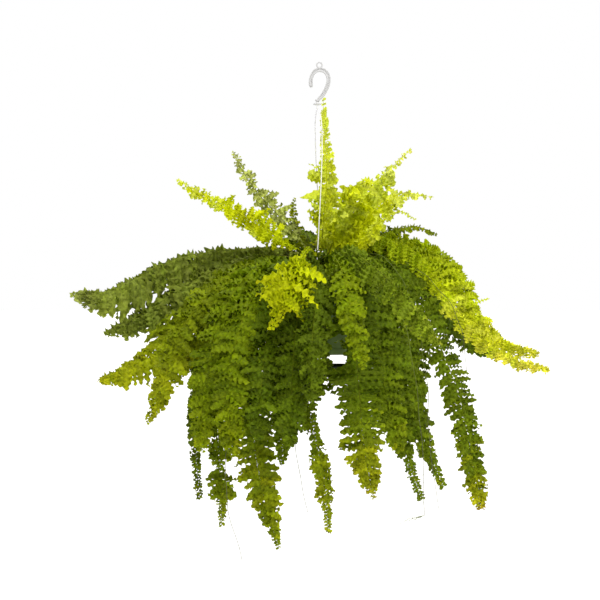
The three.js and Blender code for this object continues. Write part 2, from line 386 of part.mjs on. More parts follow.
for (const [name, azimuth] of ARMS) {
  const a = THREE.MathUtils.degToRad(azimuth);
  const dir = new THREE.Vector2(Math.sin(a), -Math.cos(a));
  const hx = HUB_X + ARM_HOLE_AT * dir.x;
  const hy = ARM_HOLE_AT * dir.y;
  const endR = RIM_R - 3;
  const end = [endR * dir.x, endR * dir.y, RIM_Z + 2.0];
  const points = [[hx, hy, HUB_PLATE_BOTTOM - 2]];
  const lean = name.endsWith("front") ? 10 : -6;
  for (const t of [0.08, 0.25, 0.42, 0.6, 0.8, 0.95, 1]) {
    const z0 = HUB_PLATE_BOTTOM - 2;
    points.push([
      hx + (end[0] - hx) * t + lean * Math.sin(Math.PI * Math.sqrt(t)),
      hy + (end[1] - hy) * t,
      z0 + (end[2] - z0) * t,
    ]);
  }
  let arm = solid(rod(points, ARM_R, 6, 18));
  const neck = flip(new THREE.CylinderGeometry(ARM_R, ARM_R, 9, 8));
  neck.translate(hx, hy, HUB_PLATE_BOTTOM + 1.5);
  arm = arm.add(solid(neck));
  const head = flip(new THREE.CylinderGeometry(2.0, 1.7, 2.6, 8));
  head.translate(hx, hy, HUB_PLATE_TOP + GAP + 1.3);
  arm = arm.add(solid(head));
  const clip = clipGeometry();
  clip.rotateZ(a - Math.PI / 2);
  arm = arm.add(solid(clip));
  add(name, geometryOf(arm), CLEAR);
}

// ---- pot and saucer -----------------------------------------------------
const lathe = (profile, segments) =>
  flip(
    new THREE.LatheGeometry(
      profile.map(([r, z]) => new THREE.Vector2(r, z)),
      segments,
    ),
  );
const innerBaseR = BASE_R - WALL - 0.6;
let pot = solid(
  lathe(
    [
      [0, BASE_Z],
      [BASE_R - 3, BASE_Z],
      [BASE_R, BASE_Z + 3],
      [WALL_TOP_R, RIM_Z - 14],
      [WALL_TOP_R, RIM_Z - 6.6],
      [RIM_R, RIM_Z - 6.6],
      [RIM_R, RIM_Z - 1.2],
      [RIM_R - 1.2, RIM_Z],
      [WALL_TOP_R - WALL, RIM_Z],
      [WALL_TOP_R - WALL, RIM_Z - 14],
      [innerBaseR, BASE_Z + FLOOR + 1],
      [innerBaseR - 2, BASE_Z + FLOOR],
      [0, BASE_Z + FLOOR],
    ],
    32,
  ),
);
for (let i = 0; i < 6; i++) {
  const a = ((i + 0.5) / 6) * Math.PI * 2;
  const hole = flip(new THREE.CylinderGeometry(4.5, 4.5, 12, 12));
  hole.translate(48 * Math.cos(a), 48 * Math.sin(a), BASE_Z);
  pot = pot.subtract(solid(hole));
}
const LUGS = [90, 210, 330].map((d) => {
  const a = THREE.MathUtils.degToRad(d);
  return [LUG_AT * Math.sin(a), -LUG_AT * Math.cos(a)];
});
const saucerFloor = SAUCER_BASE_Z + SAUCER_WALL;
for (const [x, y] of LUGS) {
  const foot = saucerFloor + GAP;
  const h = BASE_Z + 1 - foot;
  const lug = flip(new THREE.CylinderGeometry(LUG_R, LUG_R - 0.8, h, 14));
  lug.translate(x, y, foot + h / 2);
  pot = pot.add(solid(lug));
}
add("pot", geometryOf(pot), POT);

let saucer = solid(
  lathe(
    [
      [0, SAUCER_BASE_Z],
      [SAUCER_RIM_R - 13, SAUCER_BASE_Z],
      [SAUCER_RIM_R - 4, SAUCER_RIM_Z - 3],
      [SAUCER_RIM_R, SAUCER_RIM_Z - 2.4],
      [SAUCER_RIM_R, SAUCER_RIM_Z],
      [SAUCER_RIM_R - 5, SAUCER_RIM_Z],
      [SAUCER_RIM_R - 14.2, saucerFloor],
      [0, saucerFloor],
    ],
    32,
  ),
);
for (const [x, y] of LUGS) {
  const boss = flip(new THREE.CylinderGeometry(LUG_R + 2.4, LUG_R + 2.8, 8, 14));
  boss.translate(x, y, saucerFloor + 3.6);
  const socket = flip(
    new THREE.CylinderGeometry(LUG_R + GAP, LUG_R + GAP, 12, 14),
  );
  socket.translate(x, y, saucerFloor + 6);
  saucer = saucer.add(solid(boss)).subtract(solid(socket));
}
add("saucer", geometryOf(saucer), SAUCER);

// ---- soil and rootstock -------------------------------------------------
const SOIL_GAP = 0.7;
const soilR = (z) => {
  const z0 = BASE_Z + FLOOR + 1;
  const z1 = RIM_Z - 14;
  const t = Math.min(1, (z - z0) / (z1 - z0));
  return innerBaseR + (WALL_TOP_R - WALL - innerBaseR) * t - SOIL_GAP;
};
const soilBottom = BASE_Z + FLOOR + 1.6;
add(
  "soil",
  lathe(
    [
      [0, soilBottom],
      [soilR(soilBottom) - 1.5, soilBottom],
      [soilR(SOIL_TOP_Z - 6), SOIL_TOP_Z - 6],
      [soilR(SOIL_TOP_Z - 6) - 5, SOIL_TOP_Z - 3],
      [CROWN_R + 4, SOIL_TOP_Z],
      [0, SOIL_TOP_Z],
    ],
    32,
  ),
  SOIL,
);
add(
  "crown",
  lathe(
    [
      [0, SOIL_TOP_Z + GAP],
      [CROWN_R - 2, SOIL_TOP_Z + GAP],
      [CROWN_R, SOIL_TOP_Z + GAP + 0.8],
      [CROWN_R * 0.8, CROWN_TOP_Z - 9.2],
      [CROWN_R * 0.55, CROWN_TOP_Z - 4.4],
      [CROWN_R * 0.28, CROWN_TOP_Z - 1.3],
      [0, CROWN_TOP_Z],
    ],
    28,
  ),
  ROOT,
);

// ---- leaves and runners -------------------------------------------------
const plant = new THREE.Group();
root.add(plant);
for (const [name, tone, width, points] of FRONDS)
  add(name, frond(points, width), LEAF[tone], plant);
for (const [name, points] of RUNNERS)
  add(name, rod(points, RUNNER_R, 5, 16), RUNNER, plant);

export default root;
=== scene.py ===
# Looks of a fern in a hanging pot. Metres, +Z up, front towards -Y.
# The tables are in millimetres; MM turns them into metres.
import math

import bpy
import numpy as np
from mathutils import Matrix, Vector


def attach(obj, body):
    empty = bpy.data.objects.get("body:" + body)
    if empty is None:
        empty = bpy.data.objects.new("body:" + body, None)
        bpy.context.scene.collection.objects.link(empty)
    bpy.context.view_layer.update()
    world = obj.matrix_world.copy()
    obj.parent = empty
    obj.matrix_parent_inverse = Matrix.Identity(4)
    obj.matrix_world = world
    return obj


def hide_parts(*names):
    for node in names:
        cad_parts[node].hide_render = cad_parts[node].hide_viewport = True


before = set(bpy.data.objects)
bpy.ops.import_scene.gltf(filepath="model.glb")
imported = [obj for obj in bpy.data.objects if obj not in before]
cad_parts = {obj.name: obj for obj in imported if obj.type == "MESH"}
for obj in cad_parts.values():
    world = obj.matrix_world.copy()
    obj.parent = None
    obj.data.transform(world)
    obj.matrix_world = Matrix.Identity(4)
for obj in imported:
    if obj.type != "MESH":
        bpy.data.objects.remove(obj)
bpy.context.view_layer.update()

scene = bpy.context.scene
MM = 0.001
DOWN = np.array([0.0, 0.0, -1.0])
UP = np.array([0.0, 0.0, 1.0])
FRONT = np.array([0.0, -1.0, 0.0])

# ---- camera ----------------------------------------------------------------
camera_data = bpy.data.cameras.new("camera")
camera = bpy.data.objects.new("camera", camera_data)
scene.collection.objects.link(camera)
camera.location = (-0.040, -4.5, -0.456)
camera.rotation_euler = (math.radians(90), 0, 0)
camera_data.lens = 135
camera_data.sensor_width = 36
camera_data.clip_end = 400
scene.camera = camera

# ---- tables ------------------------------------------------------------------
# Each frond: node, tone, width across the leaflets, midrib from base to tip.
FRONDS = [
    ["frond_01", "lime", 54, [[0.9, 2.1, -383.2], [1.3, 3.8, -368.3], [2.5, 5.5, -350.1], [4.5, 7.2, -326.9], [7.2, 9.3, -297], [10.2, 11.6, -260.5], [13.1, 13.9, -217.3], [12.6, 15.7, -170.7], [8.4, 15.5, -114.1], [6.5, 13, -50.8]]],
    ["frond_02", "dusty", 52, [[-10, 1.7, -383.5], [-15, 6.4, -372.2], [-21.9, 11.9, -358.7], [-33.6, 18.1, -343], [-50.1, 25.5, -323.8], [-70.4, 33.6, -300], [-95.4, 43, -272.7], [-122.6, 51.6, -243.1], [-151.5, 57.8, -203], [-176.1, 63.1, -153.3]]],
    ["frond_03", "lime", 70, [[-15.3, -5.4, -383.9], [-24.2, -6.2, -372.4], [-36.6, -8.5, -359.9], [-55.1, -14.8, -348.4], [-79.6, -23, -334.7], [-109.7, -29.9, -316.8], [-144.4, -37, -294.1], [-183.5, -42.6, -271.8], [-233.8, -46.9, -249.8], [-285.4, -50.9, -216.6]]],
    ["frond_04", "olive", 36, [[-4.8, 19.8, -384.2], [-5.8, 23.1, -378], [-7, 27.1, -370.4], [-9.6, 32, -361], [-17.4, 37, -350.6], [-30.7, 41.5, -340.5], [-43.4, 46.2, -325.4], [-50.2, 50.2, -304.8], [-52.8, 53.4, -278.4], [-51.9, 55.7, -248.5]]],
    ["frond_05", "lime", 70, [[11.9, 10.6, -383.8], [19.1, 12.7, -372.8], [27.7, 15.5, -359.1], [37.5, 19.7, -341.1], [49.5, 25.2, -317.8], [64.2, 30.5, -289.1], [82.3, 35.5, -255.2], [107.9, 43, -223.3], [144.3, 49.3, -188.8], [186.2, 53.1, -150.9]]],
    ["frond_06", "lime", 66, [[19.3, 5.9, -384.2], [27.5, 6.2, -375.3], [37.4, 6.4, -364.5], [49.3, 5.4, -350], [63.6, 2.4, -330.8], [81.6, -1.4, -307.7], [104.2, -5.5, -281.6], [133.9, -9.3, -259.1], [176.8, -12.4, -245.4], [227.1, -15.1, -250.8]]],
    ["frond_07", "lime", 56, [[28.8, -21.4, -386.4], [34.6, -24.2, -379.1], [41.7, -27.8, -370.2], [51.7, -32.8, -359.9], [65.7, -40.1, -348.5], [83.1, -49.3, -335], [102.7, -59.3, -317.5], [124, -69.1, -298.1], [155.4, -78.4, -281.9], [187.3, -83.9, -298.9]]],
    ["frond_08", "green", 44, [[32.4, 21.2, -386.9], [39.4, 24.1, -378.6], [48.2, 27.4, -368.3], [60.4, 33.5, -357.3], [76.9, 44.4, -346.2], [97.9, 58.1, -334.5], [125, 71.8, -322.4], [156.5, 84.1, -312.4], [197.5, 94.1, -306.1], [240.9, 98.4, -322.2]]],
    ["frond_09", "lime", 80, [[8.3, -4.2, -383.4], [11.4, -5.7, -376.8], [15, -7.6, -368.7], [19.1, -9.6, -358.1], [23.2, -11.5, -344], [27.3, -13.2, -326.5], [32.7, -14.8, -305.8], [39.3, -16, -283.7], [50.9, -16, -258.2], [65.7, -14, -230.7]]],
    ["frond_10", "dusty", 84, [[-24, 35.7, -387.8], [-34, 39.5, -367.1], [-59.5, 41.3, -355.5], [-95.3, 42.5, -350], [-141.7, 42.4, -352.1], [-197.9, 34.7, -357.3], [-264, 25.9, -366.6], [-331.5, 17.4, -391], [-407.5, 9.8, -434.8], [-502.2, 5.8, -442]]],
    ["frond_11", "dusty", 84, [[-32, 29.5, -387.9], [-46.2, 26.8, -374.3], [-69, 21.7, -368.1], [-99.3, 14.8, -366], [-138.3, 7.3, -369.4], [-183.7, -1, -385.3], [-235.5, -9.4, -409.4], [-288.4, -16.5, -441.5], [-349.8, -21.6, -485.3], [-425.9, -23.2, -519.5]]],
    ["frond_12", "olive", 70, [[-37.5, 23.2, -388], [-55.3, 15.2, -376], [-78.9, 0.8, -371.5], [-109.2, -18.2, -369.4], [-148.3, -36, -384], [-191.5, -54, -415.1], [-237.4, -69.1, -460.6], [-284.2, -78.2, -514], [-346.9, -80.3, -573.7], [-435, -74.7, -613.3]]],
    ["frond_13", "olive", 64, [[-51.7, -52.9, -396.8], [-68.1, -63.3, -384.7], [-90, -79.2, -379.3], [-117.1, -102.3, -379.8], [-149.6, -132.1, -391], [-190.5, -157.7, -418.7], [-234.9, -175.9, -463.7], [-271.3, -184.7, -523.9], [-297.8, -182.7, -606], [-334.5, -174, -694.5]]],
    ["frond_14", "olive", 62, [[-57.2, -27.1, -393.2], [-69.6, -35, -384.2], [-85.5, -46.9, -377.5], [-104.5, -65.7, -378.9], [-127.4, -86.1, -394.5], [-153.5, -111.7, -415.7], [-184.4, -135.5, -446.8], [-216.5, -153.3, -486.2], [-249, -161.5, -542.1], [-276.8, -156.1, -609.4]]],
    ["frond_15", "gold", 100, [[-7.5, -68.9, -395.1], [-9.6, -77.9, -380.8], [-12.6, -97, -372.3], [-16, -123.2, -365.8], [-19.4, -157.3, -359], [-24.9, -199.5, -357.8], [-33.8, -247.3, -370.8], [-46, -293.8, -396], [-66.7, -334.8, -442.3], [-93, -345.8, -509.9]]],
    ["frond_16", "gold_lime", 84, [[29.8, 2, -385.4], [42.8, 0.2, -363.9], [66.3, -8.4, -346.6], [101.2, -22.8, -336.1], [148.7, -37.9, -340.9], [200.1, -49.6, -372.1], [244.1, -55.4, -429.7], [284.4, -55.1, -497.1], [353.2, -51, -561.8], [454.3, -47.5, -594.1]]],
    ["frond_17", "gold_lime", 76, [[43.2, 15, -388.4], [58.1, 18.4, -370.9], [80.6, 17.1, -353.7], [112.3, 10.4, -337.6], [157.8, 3, -335.2], [211.7, -5.4, -350.7], [262, -12.1, -394.1], [296.1, -14.2, -457.9], [348, -10.3, -528.1], [439.2, -5.1, -561.8]]],
    ["frond_18", "deep", 78, [[38.9, 35.1, -390], [51.8, 42.2, -375.7], [70.1, 54, -363.4], [94.2, 73, -354.2], [128.5, 95, -350.4], [173.9, 106.5, -367.9], [218, 114.1, -406.7], [253.7, 117.7, -459.7], [295.9, 118, -524.9], [369.9, 114.9, -564.9]]],
    ["frond_19", "deep", 62, [[36.2, 14.7, -387], [57.5, 3.3, -369.4], [84.9, -20.8, -364.8], [119.9, -51.6, -369.1], [160.6, -80.8, -401.8], [197, -98.5, -463.1], [232.3, -108.1, -542.3], [265.5, -111.3, -630.2], [291.4, -105.7, -741.1], [314.1, -94.9, -866.3]]],
    ["frond_20", "deep", 64, [[34.8, -27.5, -388.1], [49.6, -43.3, -371.8], [66.6, -71.5, -369.1], [86.7, -108, -376.2], [110.7, -142.5, -409.3], [130.4, -161.6, -470], [141.6, -171, -547.6], [150.9, -173.7, -632], [160.4, -169.3, -734.7], [195.1, -162.1, -843.9]]],
    ["frond_21", "deep", 60, [[35.8, -9.3, -386.6], [52.9, -22.5, -371.3], [73.9, -46.9, -367.7], [99.9, -79.2, -370.6], [129.9, -110.1, -399.6], [152.1, -125.5, -459], [166.3, -133.4, -534.5], [178.4, -137.3, -616.7], [196.7, -135.1, -716], [239.1, -126.8, -819.9]]],
    ["frond_22", "green", 66, [[26.2, -46.1, -390.2], [36.3, -59.8, -375.4], [47.5, -84, -371], [59.3, -116.6, -376.3], [75.1, -154, -395.5], [88.2, -183.4, -439.5], [100.2, -201.7, -500.8], [111.7, -210.1, -569.5], [126.8, -211.7, -653.4], [151.6, -204.5, -745.1]]],
    ["frond_23", "green", 80, [[20.4, -71.1, -396.8], [27.8, -91.3, -381.6], [34.5, -122.5, -379.3], [43.1, -161.2, -390.7], [53.1, -208.2, -412.2], [58.5, -239.2, -468.1], [63.5, -254.9, -542.8], [71.3, -259.5, -624.9], [80.2, -255.2, -724.6], [98.7, -244.4, -834.5]]],
    ["frond_24", "green", 50, [[-8.3, -73.5, -396.8], [-13, -95.8, -380.4], [-17.6, -129.4, -380.9], [-16, -167.2, -402.9], [-23.6, -201.8, -445.9], [-30.1, -222.1, -511.4], [-29.1, -229.3, -592.8], [-19.7, -229.2, -680.2], [3.4, -220.4, -784.1], [13.8, -209.1, -901.8]]],
    ["frond_25", "green", 78, [[-44.8, -58.9, -396.8], [-57.8, -79.9, -380.7], [-72.1, -113.2, -384.2], [-87.1, -149, -410.5], [-105.2, -187.7, -452.4], [-120.9, -210.6, -520.4], [-129.9, -219.1, -606.8], [-129.5, -221.3, -700.8], [-112.6, -215.5, -813.3], [-78.5, -204.9, -935.9]]],
    ["frond_26", "green", 64, [[-26, -62, -394.5], [-32.9, -78.1, -379.5], [-39.9, -104.2, -375.2], [-45.7, -137.3, -386.3], [-52.1, -174.5, -412.7], [-63, -208.7, -455.4], [-72, -232, -516.8], [-74, -243.5, -587.5], [-69.3, -247.4, -674.2], [-75.4, -244.2, -770.9]]],
    ["frond_27", "green", 58, [[-33.4, -38.3, -389.6], [-51, -56.4, -375.4], [-73.9, -84.1, -374.9], [-101.5, -117.1, -389.5], [-134.6, -150.6, -424.2], [-167.2, -172.7, -484.2], [-188.1, -185.7, -565.6], [-197.2, -191.4, -656.6], [-194.2, -188.7, -767.8], [-190, -180.4, -892]]],
    ["frond_28", "deep", 48, [[-44.8, 2.2, -388.2], [-65, -10.8, -374.7], [-91.4, -32.5, -372.4], [-126.4, -57.6, -376.4], [-166.3, -82.3, -406.3], [-201.3, -104.5, -460.3], [-224.2, -117.2, -536.8], [-235.4, -124.1, -623], [-242.9, -125.2, -728.7], [-234.8, -119.3, -846.3]]],
    ["frond_29", "bright", 66, [[-37.4, -63.8, -396.8], [-49.2, -79.6, -382.4], [-66.1, -101.9, -373.5], [-88.7, -132.4, -374.1], [-117.7, -168.6, -388.7], [-151.9, -203.9, -421.6], [-185.6, -226.4, -478.8], [-207.3, -237.7, -550.6], [-222.9, -242.8, -641.3], [-226.3, -239.2, -744.1]]],
    ["frond_30", "bright", 66, [[-25.1, -69.6, -396.8], [-36.4, -88.2, -385.6], [-51.1, -113.2, -380.3], [-67.1, -147.7, -383.6], [-88, -189.8, -396.6], [-115.7, -232.9, -426.8], [-144.3, -264.6, -482.7], [-164.2, -277.6, -554.9], [-173.5, -282.4, -646.6], [-164.9, -278.8, -749.5]]],
    ["frond_31", "deep", 64, [[-19.1, -71.5, -396.8], [-25.8, -89.7, -383.8], [-33.8, -114.5, -372.6], [-44.3, -149.2, -370.8], [-58.4, -193.1, -378.5], [-73.2, -241, -405], [-89.5, -271.9, -462.5], [-103.1, -290.8, -531.4], [-112.4, -300.2, -618.8], [-120.2, -297, -717.3]]],
    ["frond_32", "deep", 64, [[-13.5, -72.8, -396.8], [-19.3, -93.2, -387.7], [-25.8, -119.4, -380.4], [-30.4, -154.9, -383.6], [-33.9, -199.4, -395.6], [-38.9, -249.5, -420.5], [-43.2, -285.4, -476.2], [-51, -305.1, -544.8], [-55.4, -314.2, -631.6], [-58.4, -310.7, -729.2]]],
    ["frond_33", "deep", 66, [[-0.7, -74, -396.8], [-0.1, -92.2, -388.5], [0, -115, -380.4], [-2, -146, -379.6], [-3.4, -185.4, -385.8], [-4.7, -232, -400.3], [-8.4, -279.8, -431.5], [-13.5, -311, -484.7], [-18.9, -328.7, -557.9], [-20.3, -332.4, -642]]],
    ["frond_34", "silver", 72, [[18.6, -50.6, -390.4], [22.6, -62, -374.2], [29.1, -84.3, -365.8], [37, -114.8, -360.6], [47.1, -154.3, -357.5], [60.9, -202, -363.8], [87.3, -250.7, -384], [122, -294.5, -414.5], [167.4, -328.5, -466.5], [216.3, -339, -537]]],
    ["frond_35", "bright", 54, [[14, -72.7, -396.8], [17.3, -87.5, -385], [21.6, -107.5, -374.3], [24.5, -137.1, -371.2], [25.4, -175.4, -372.6], [30, -221.4, -380.8], [37.4, -273.4, -398.2], [48.3, -314.6, -439.4], [61.8, -338.7, -506.1], [78.4, -347.1, -584.9]]],
    ["frond_36", "silver", 66, [[38.9, 26.9, -388.8], [48.8, 26.6, -380.3], [61.4, 26.9, -370.7], [79.2, 29.7, -361.3], [102.9, 34.9, -352.1], [134, 39.8, -348.4], [170.4, 43.7, -356.4], [203, 46.7, -379.9], [230.2, 48.5, -420.7], [256.4, 48.5, -469.1]]],
    ["frond_37", "green", 56, [[7.2, -54.4, -390.7], [11.1, -66.2, -379], [14.3, -83.7, -369.7], [13.4, -110, -372.2], [13.1, -141.4, -384.9], [10.8, -177, -406.4], [4.8, -212.7, -439.1], [-0.9, -236.8, -485.8], [-3.3, -249, -548.7], [20.9, -236.3, -613.8]]],
    ["frond_38", "deep", 70, [[34.5, 42.7, -390.7], [46.1, 50.8, -376.5], [60.4, 65.2, -363.5], [76.5, 90, -353.4], [97, 122.9, -343.8], [125, 162.8, -341], [170.7, 194.6, -354.2], [213, 216.9, -392.8], [248.6, 230.2, -457.9], [270.4, 231.9, -539.4]]],
    ["frond_39", "green", 68, [[34.8, 53.1, -393.2], [51.3, 68.3, -378.8], [67.2, 96.3, -373.5], [83.9, 134.6, -371.4], [106.5, 183.2, -368.1], [145.8, 232.7, -382.5], [186.5, 269.2, -435.7], [206.8, 285.5, -514.7], [211.7, 290.7, -615.9], [202.2, 287.6, -729]]],
    ["frond_40", "deep", 66, [[19.8, 48.2, -390], [32.3, 63.2, -372.3], [43.6, 91.4, -362.5], [54, 130.8, -356.9], [67.6, 181.7, -354.2], [88.9, 241.4, -363.5], [118.4, 290.6, -411.9], [137.5, 311.8, -488.6], [144, 317.9, -587.9], [134.5, 314.2, -698.7]]],
    ["frond_41", "green", 62, [[3.4, 51.6, -389.9], [12.7, 70.6, -371.9], [19.7, 102.9, -364.3], [26, 145.7, -360], [35.6, 200.8, -357.9], [51.8, 264.9, -371.9], [73, 316.7, -428.3], [82.7, 334.6, -512.6], [85.3, 341, -618], [85.5, 338.2, -736.1]]],
    ["frond_42", "bright", 66, [[11.4, 26.1, -385.2], [15.2, 40.7, -369.7], [18.8, 62, -354.5], [22, 92.4, -340.2], [25.6, 132.4, -323.9], [31.1, 182.8, -308.6], [39.1, 244.3, -307.8], [45.4, 303.8, -337.5], [47.6, 347.8, -405.3], [45.4, 364.4, -495]]],
    ["frond_43", "green", 66, [[-5.8, 28.5, -385.3], [-9.9, 46.9, -365.4], [-14.1, 76, -349.7], [-18.4, 116.1, -335.7], [-24.6, 168.6, -320.9], [-36.1, 233.9, -313], [-45.9, 306.1, -341.3], [-52.6, 352.7, -411.3], [-55.1, 369.4, -513.3], [-58, 370.6, -629.1]]],
    ["frond_44", "deep", 66, [[1.8, 59.8, -392.1], [-4.6, 79.3, -373.5], [-10.9, 111.9, -365.7], [-17.9, 154.6, -360.9], [-28.4, 209.5, -358.6], [-45.8, 272, -376.3], [-65.1, 314.9, -440.7], [-76.7, 332.8, -525], [-86.4, 339.1, -630.2], [-90, 336.1, -748.3]]],
    ["frond_45", "green", 68, [[-15.7, 53.9, -391], [-25.1, 72.7, -373.1], [-36.1, 103.8, -365.8], [-48.9, 145, -361.8], [-67.1, 197.6, -360.5], [-98.9, 252.7, -380.8], [-131.7, 288.5, -443.4], [-149.2, 303.5, -526.7], [-157.2, 308.2, -631.4], [-144.2, 305.2, -748.2]]],
    ["frond_46", "green", 66, [[-27.3, 43.5, -389.8], [-39.3, 59.3, -371.5], [-55, 86.8, -362.6], [-73.9, 124.2, -357.2], [-100.5, 171.4, -356.3], [-144.4, 216, -375.2], [-187.6, 246, -431.6], [-209.5, 260, -511.6], [-221.1, 265, -613.3], [-222, 262.2, -727.8]]],
    ["frond_47", "olive", 68, [[-42.2, 40.5, -391.7], [-54.7, 52.9, -377.1], [-71.9, 73.7, -370.6], [-92.9, 102.3, -368.5], [-121.4, 138.2, -367.1], [-164.3, 172.6, -374.3], [-218.9, 196.6, -402], [-264.6, 212.1, -453.8], [-296.8, 219.6, -533.6], [-323.9, 217.4, -626.3]]],
    ["frond_48", "dusty", 70, [[-46, 23.6, -389.9], [-52.7, 33.1, -373.5], [-68.7, 48.2, -364.1], [-92, 68.2, -358.9], [-124.2, 91.6, -354.5], [-167.6, 113.6, -355.5], [-222.5, 128.8, -365.1], [-281.1, 139.7, -383], [-350.2, 147.3, -412.6], [-424, 148.3, -453.6]]],
]

# Thin bare runners: node, then points from the rootstock to the end.
RUNNERS = [
    ["runner_01", [[22.3, -39.5, -388.9], [33, -56.2, -370.4], [40.6, -86.7, -366.6], [43.4, -124.4, -384.2], [28, -142.5, -431.8], [1.7, -150, -492.4], [-23.1, -152.7, -566.8], [-40.2, -152.8, -649.7], [-47.3, -153.2, -751.8], [-24.6, -153.4, -864.4]]],
    ["runner_02", [[-30.8, -67.3, -397.4], [-45.3, -89.2, -378.1], [-66.3, -122.4, -376.8], [-93.3, -163, -391.3], [-123.4, -205.5, -429.7], [-146.9, -234, -500.3], [-163.5, -243.9, -592.8], [-173.4, -245, -694.2], [-180.5, -242, -817.7], [-150.2, -240.8, -950.3]]],
    ["runner_03", [[39.1, -59.9, -396.5], [50.6, -77.5, -377.2], [67.4, -105.3, -367.4], [90.2, -142, -376.6], [121.1, -174.6, -410.6], [150.3, -193.9, -470.9], [170.3, -202.6, -550.5], [184.4, -206.4, -638.3], [193.3, -206.3, -746], [198.8, -206.2, -866.7]]],
    ["runner_04", [[46.7, -9, -389.4], [62.9, -23.7, -370.7], [87.9, -46.8, -364.4], [120.8, -76.3, -370.8], [152.3, -109.5, -404.3], [176.9, -132.3, -465.8], [196.7, -139.3, -546.4], [206.7, -143.9, -635.4], [211.6, -146.1, -744.1], [229.7, -147, -864.2]]],
    ["runner_05", [[44, 7.2, -388.8], [56.8, 8.2, -375], [76.2, 1.2, -367.2], [101, -14.2, -365.8], [132.3, -34.6, -368.6], [169.4, -57.4, -382.5], [210.3, -78.2, -411], [248.8, -83.7, -454.2], [277.7, -86.7, -518.5], [287, -86.7, -596.9]]],
]

# Shape along a frond: (share of the way to the tip, share of the half width).
FULL = [(0, 0), (0.06, 0.2), (0.13, 0.72), (0.22, 1), (0.6, 1), (0.76, 0.84), (0.88, 0.58), (0.95, 0.36), (1, 0.12)]
SLIM = [(0, 0), (0.08, 0.25), (0.17, 0.8), (0.28, 1), (0.5, 0.95), (0.7, 0.72), (0.85, 0.46), (0.94, 0.27), (1, 0.1)]
WIDE = [(0, 0), (0.06, 0.3), (0.13, 0.8), (0.22, 1), (0.7, 1), (0.84, 0.86), (0.93, 0.6), (1, 0.2)]
BLUNT = [(0, 0), (0.06, 0.3), (0.14, 0.85), (0.25, 1), (0.8, 1), (0.93, 0.8), (1, 0.4)]

# What sets a frond apart. yellow: (share of the way, how far the leaf has
# turned from its fresh colour, 0 to 1).
BASIC = dict(
    shape=FULL, shape_left=None, pitch=8.5, pitch_tip=6.0, wide=13.0, ruffle=0.6, sag=0.35,
    droop=0.6, twist=24, curl=0.5, splay=86, splay_tip=70, turn=0.4, spread=1.0, stalk=45,
    yellow=[(0, 0.1), (0.75, 0.18), (1, 0.5)], scatter=1.0, roll=0.0, frill=1.0,
    gaps=(),  # (side or 0 for both, from, to, share of the leaflets that are missing)
    single=(),  # (place, side, length, width, splay) of a leaflet that is set one by one
)
TAILED = [(0, 0), (0.06, 0.2), (0.13, 0.72), (0.22, 1), (0.7, 0.95), (0.78, 0.6), (0.84, 0.3), (1, 0.16)]
POINTED = [(0, 0), (0.06, 0.3), (0.13, 0.8), (0.22, 1), (0.7, 0.95), (0.84, 0.62), (0.93, 0.38), (1, 0.08)]
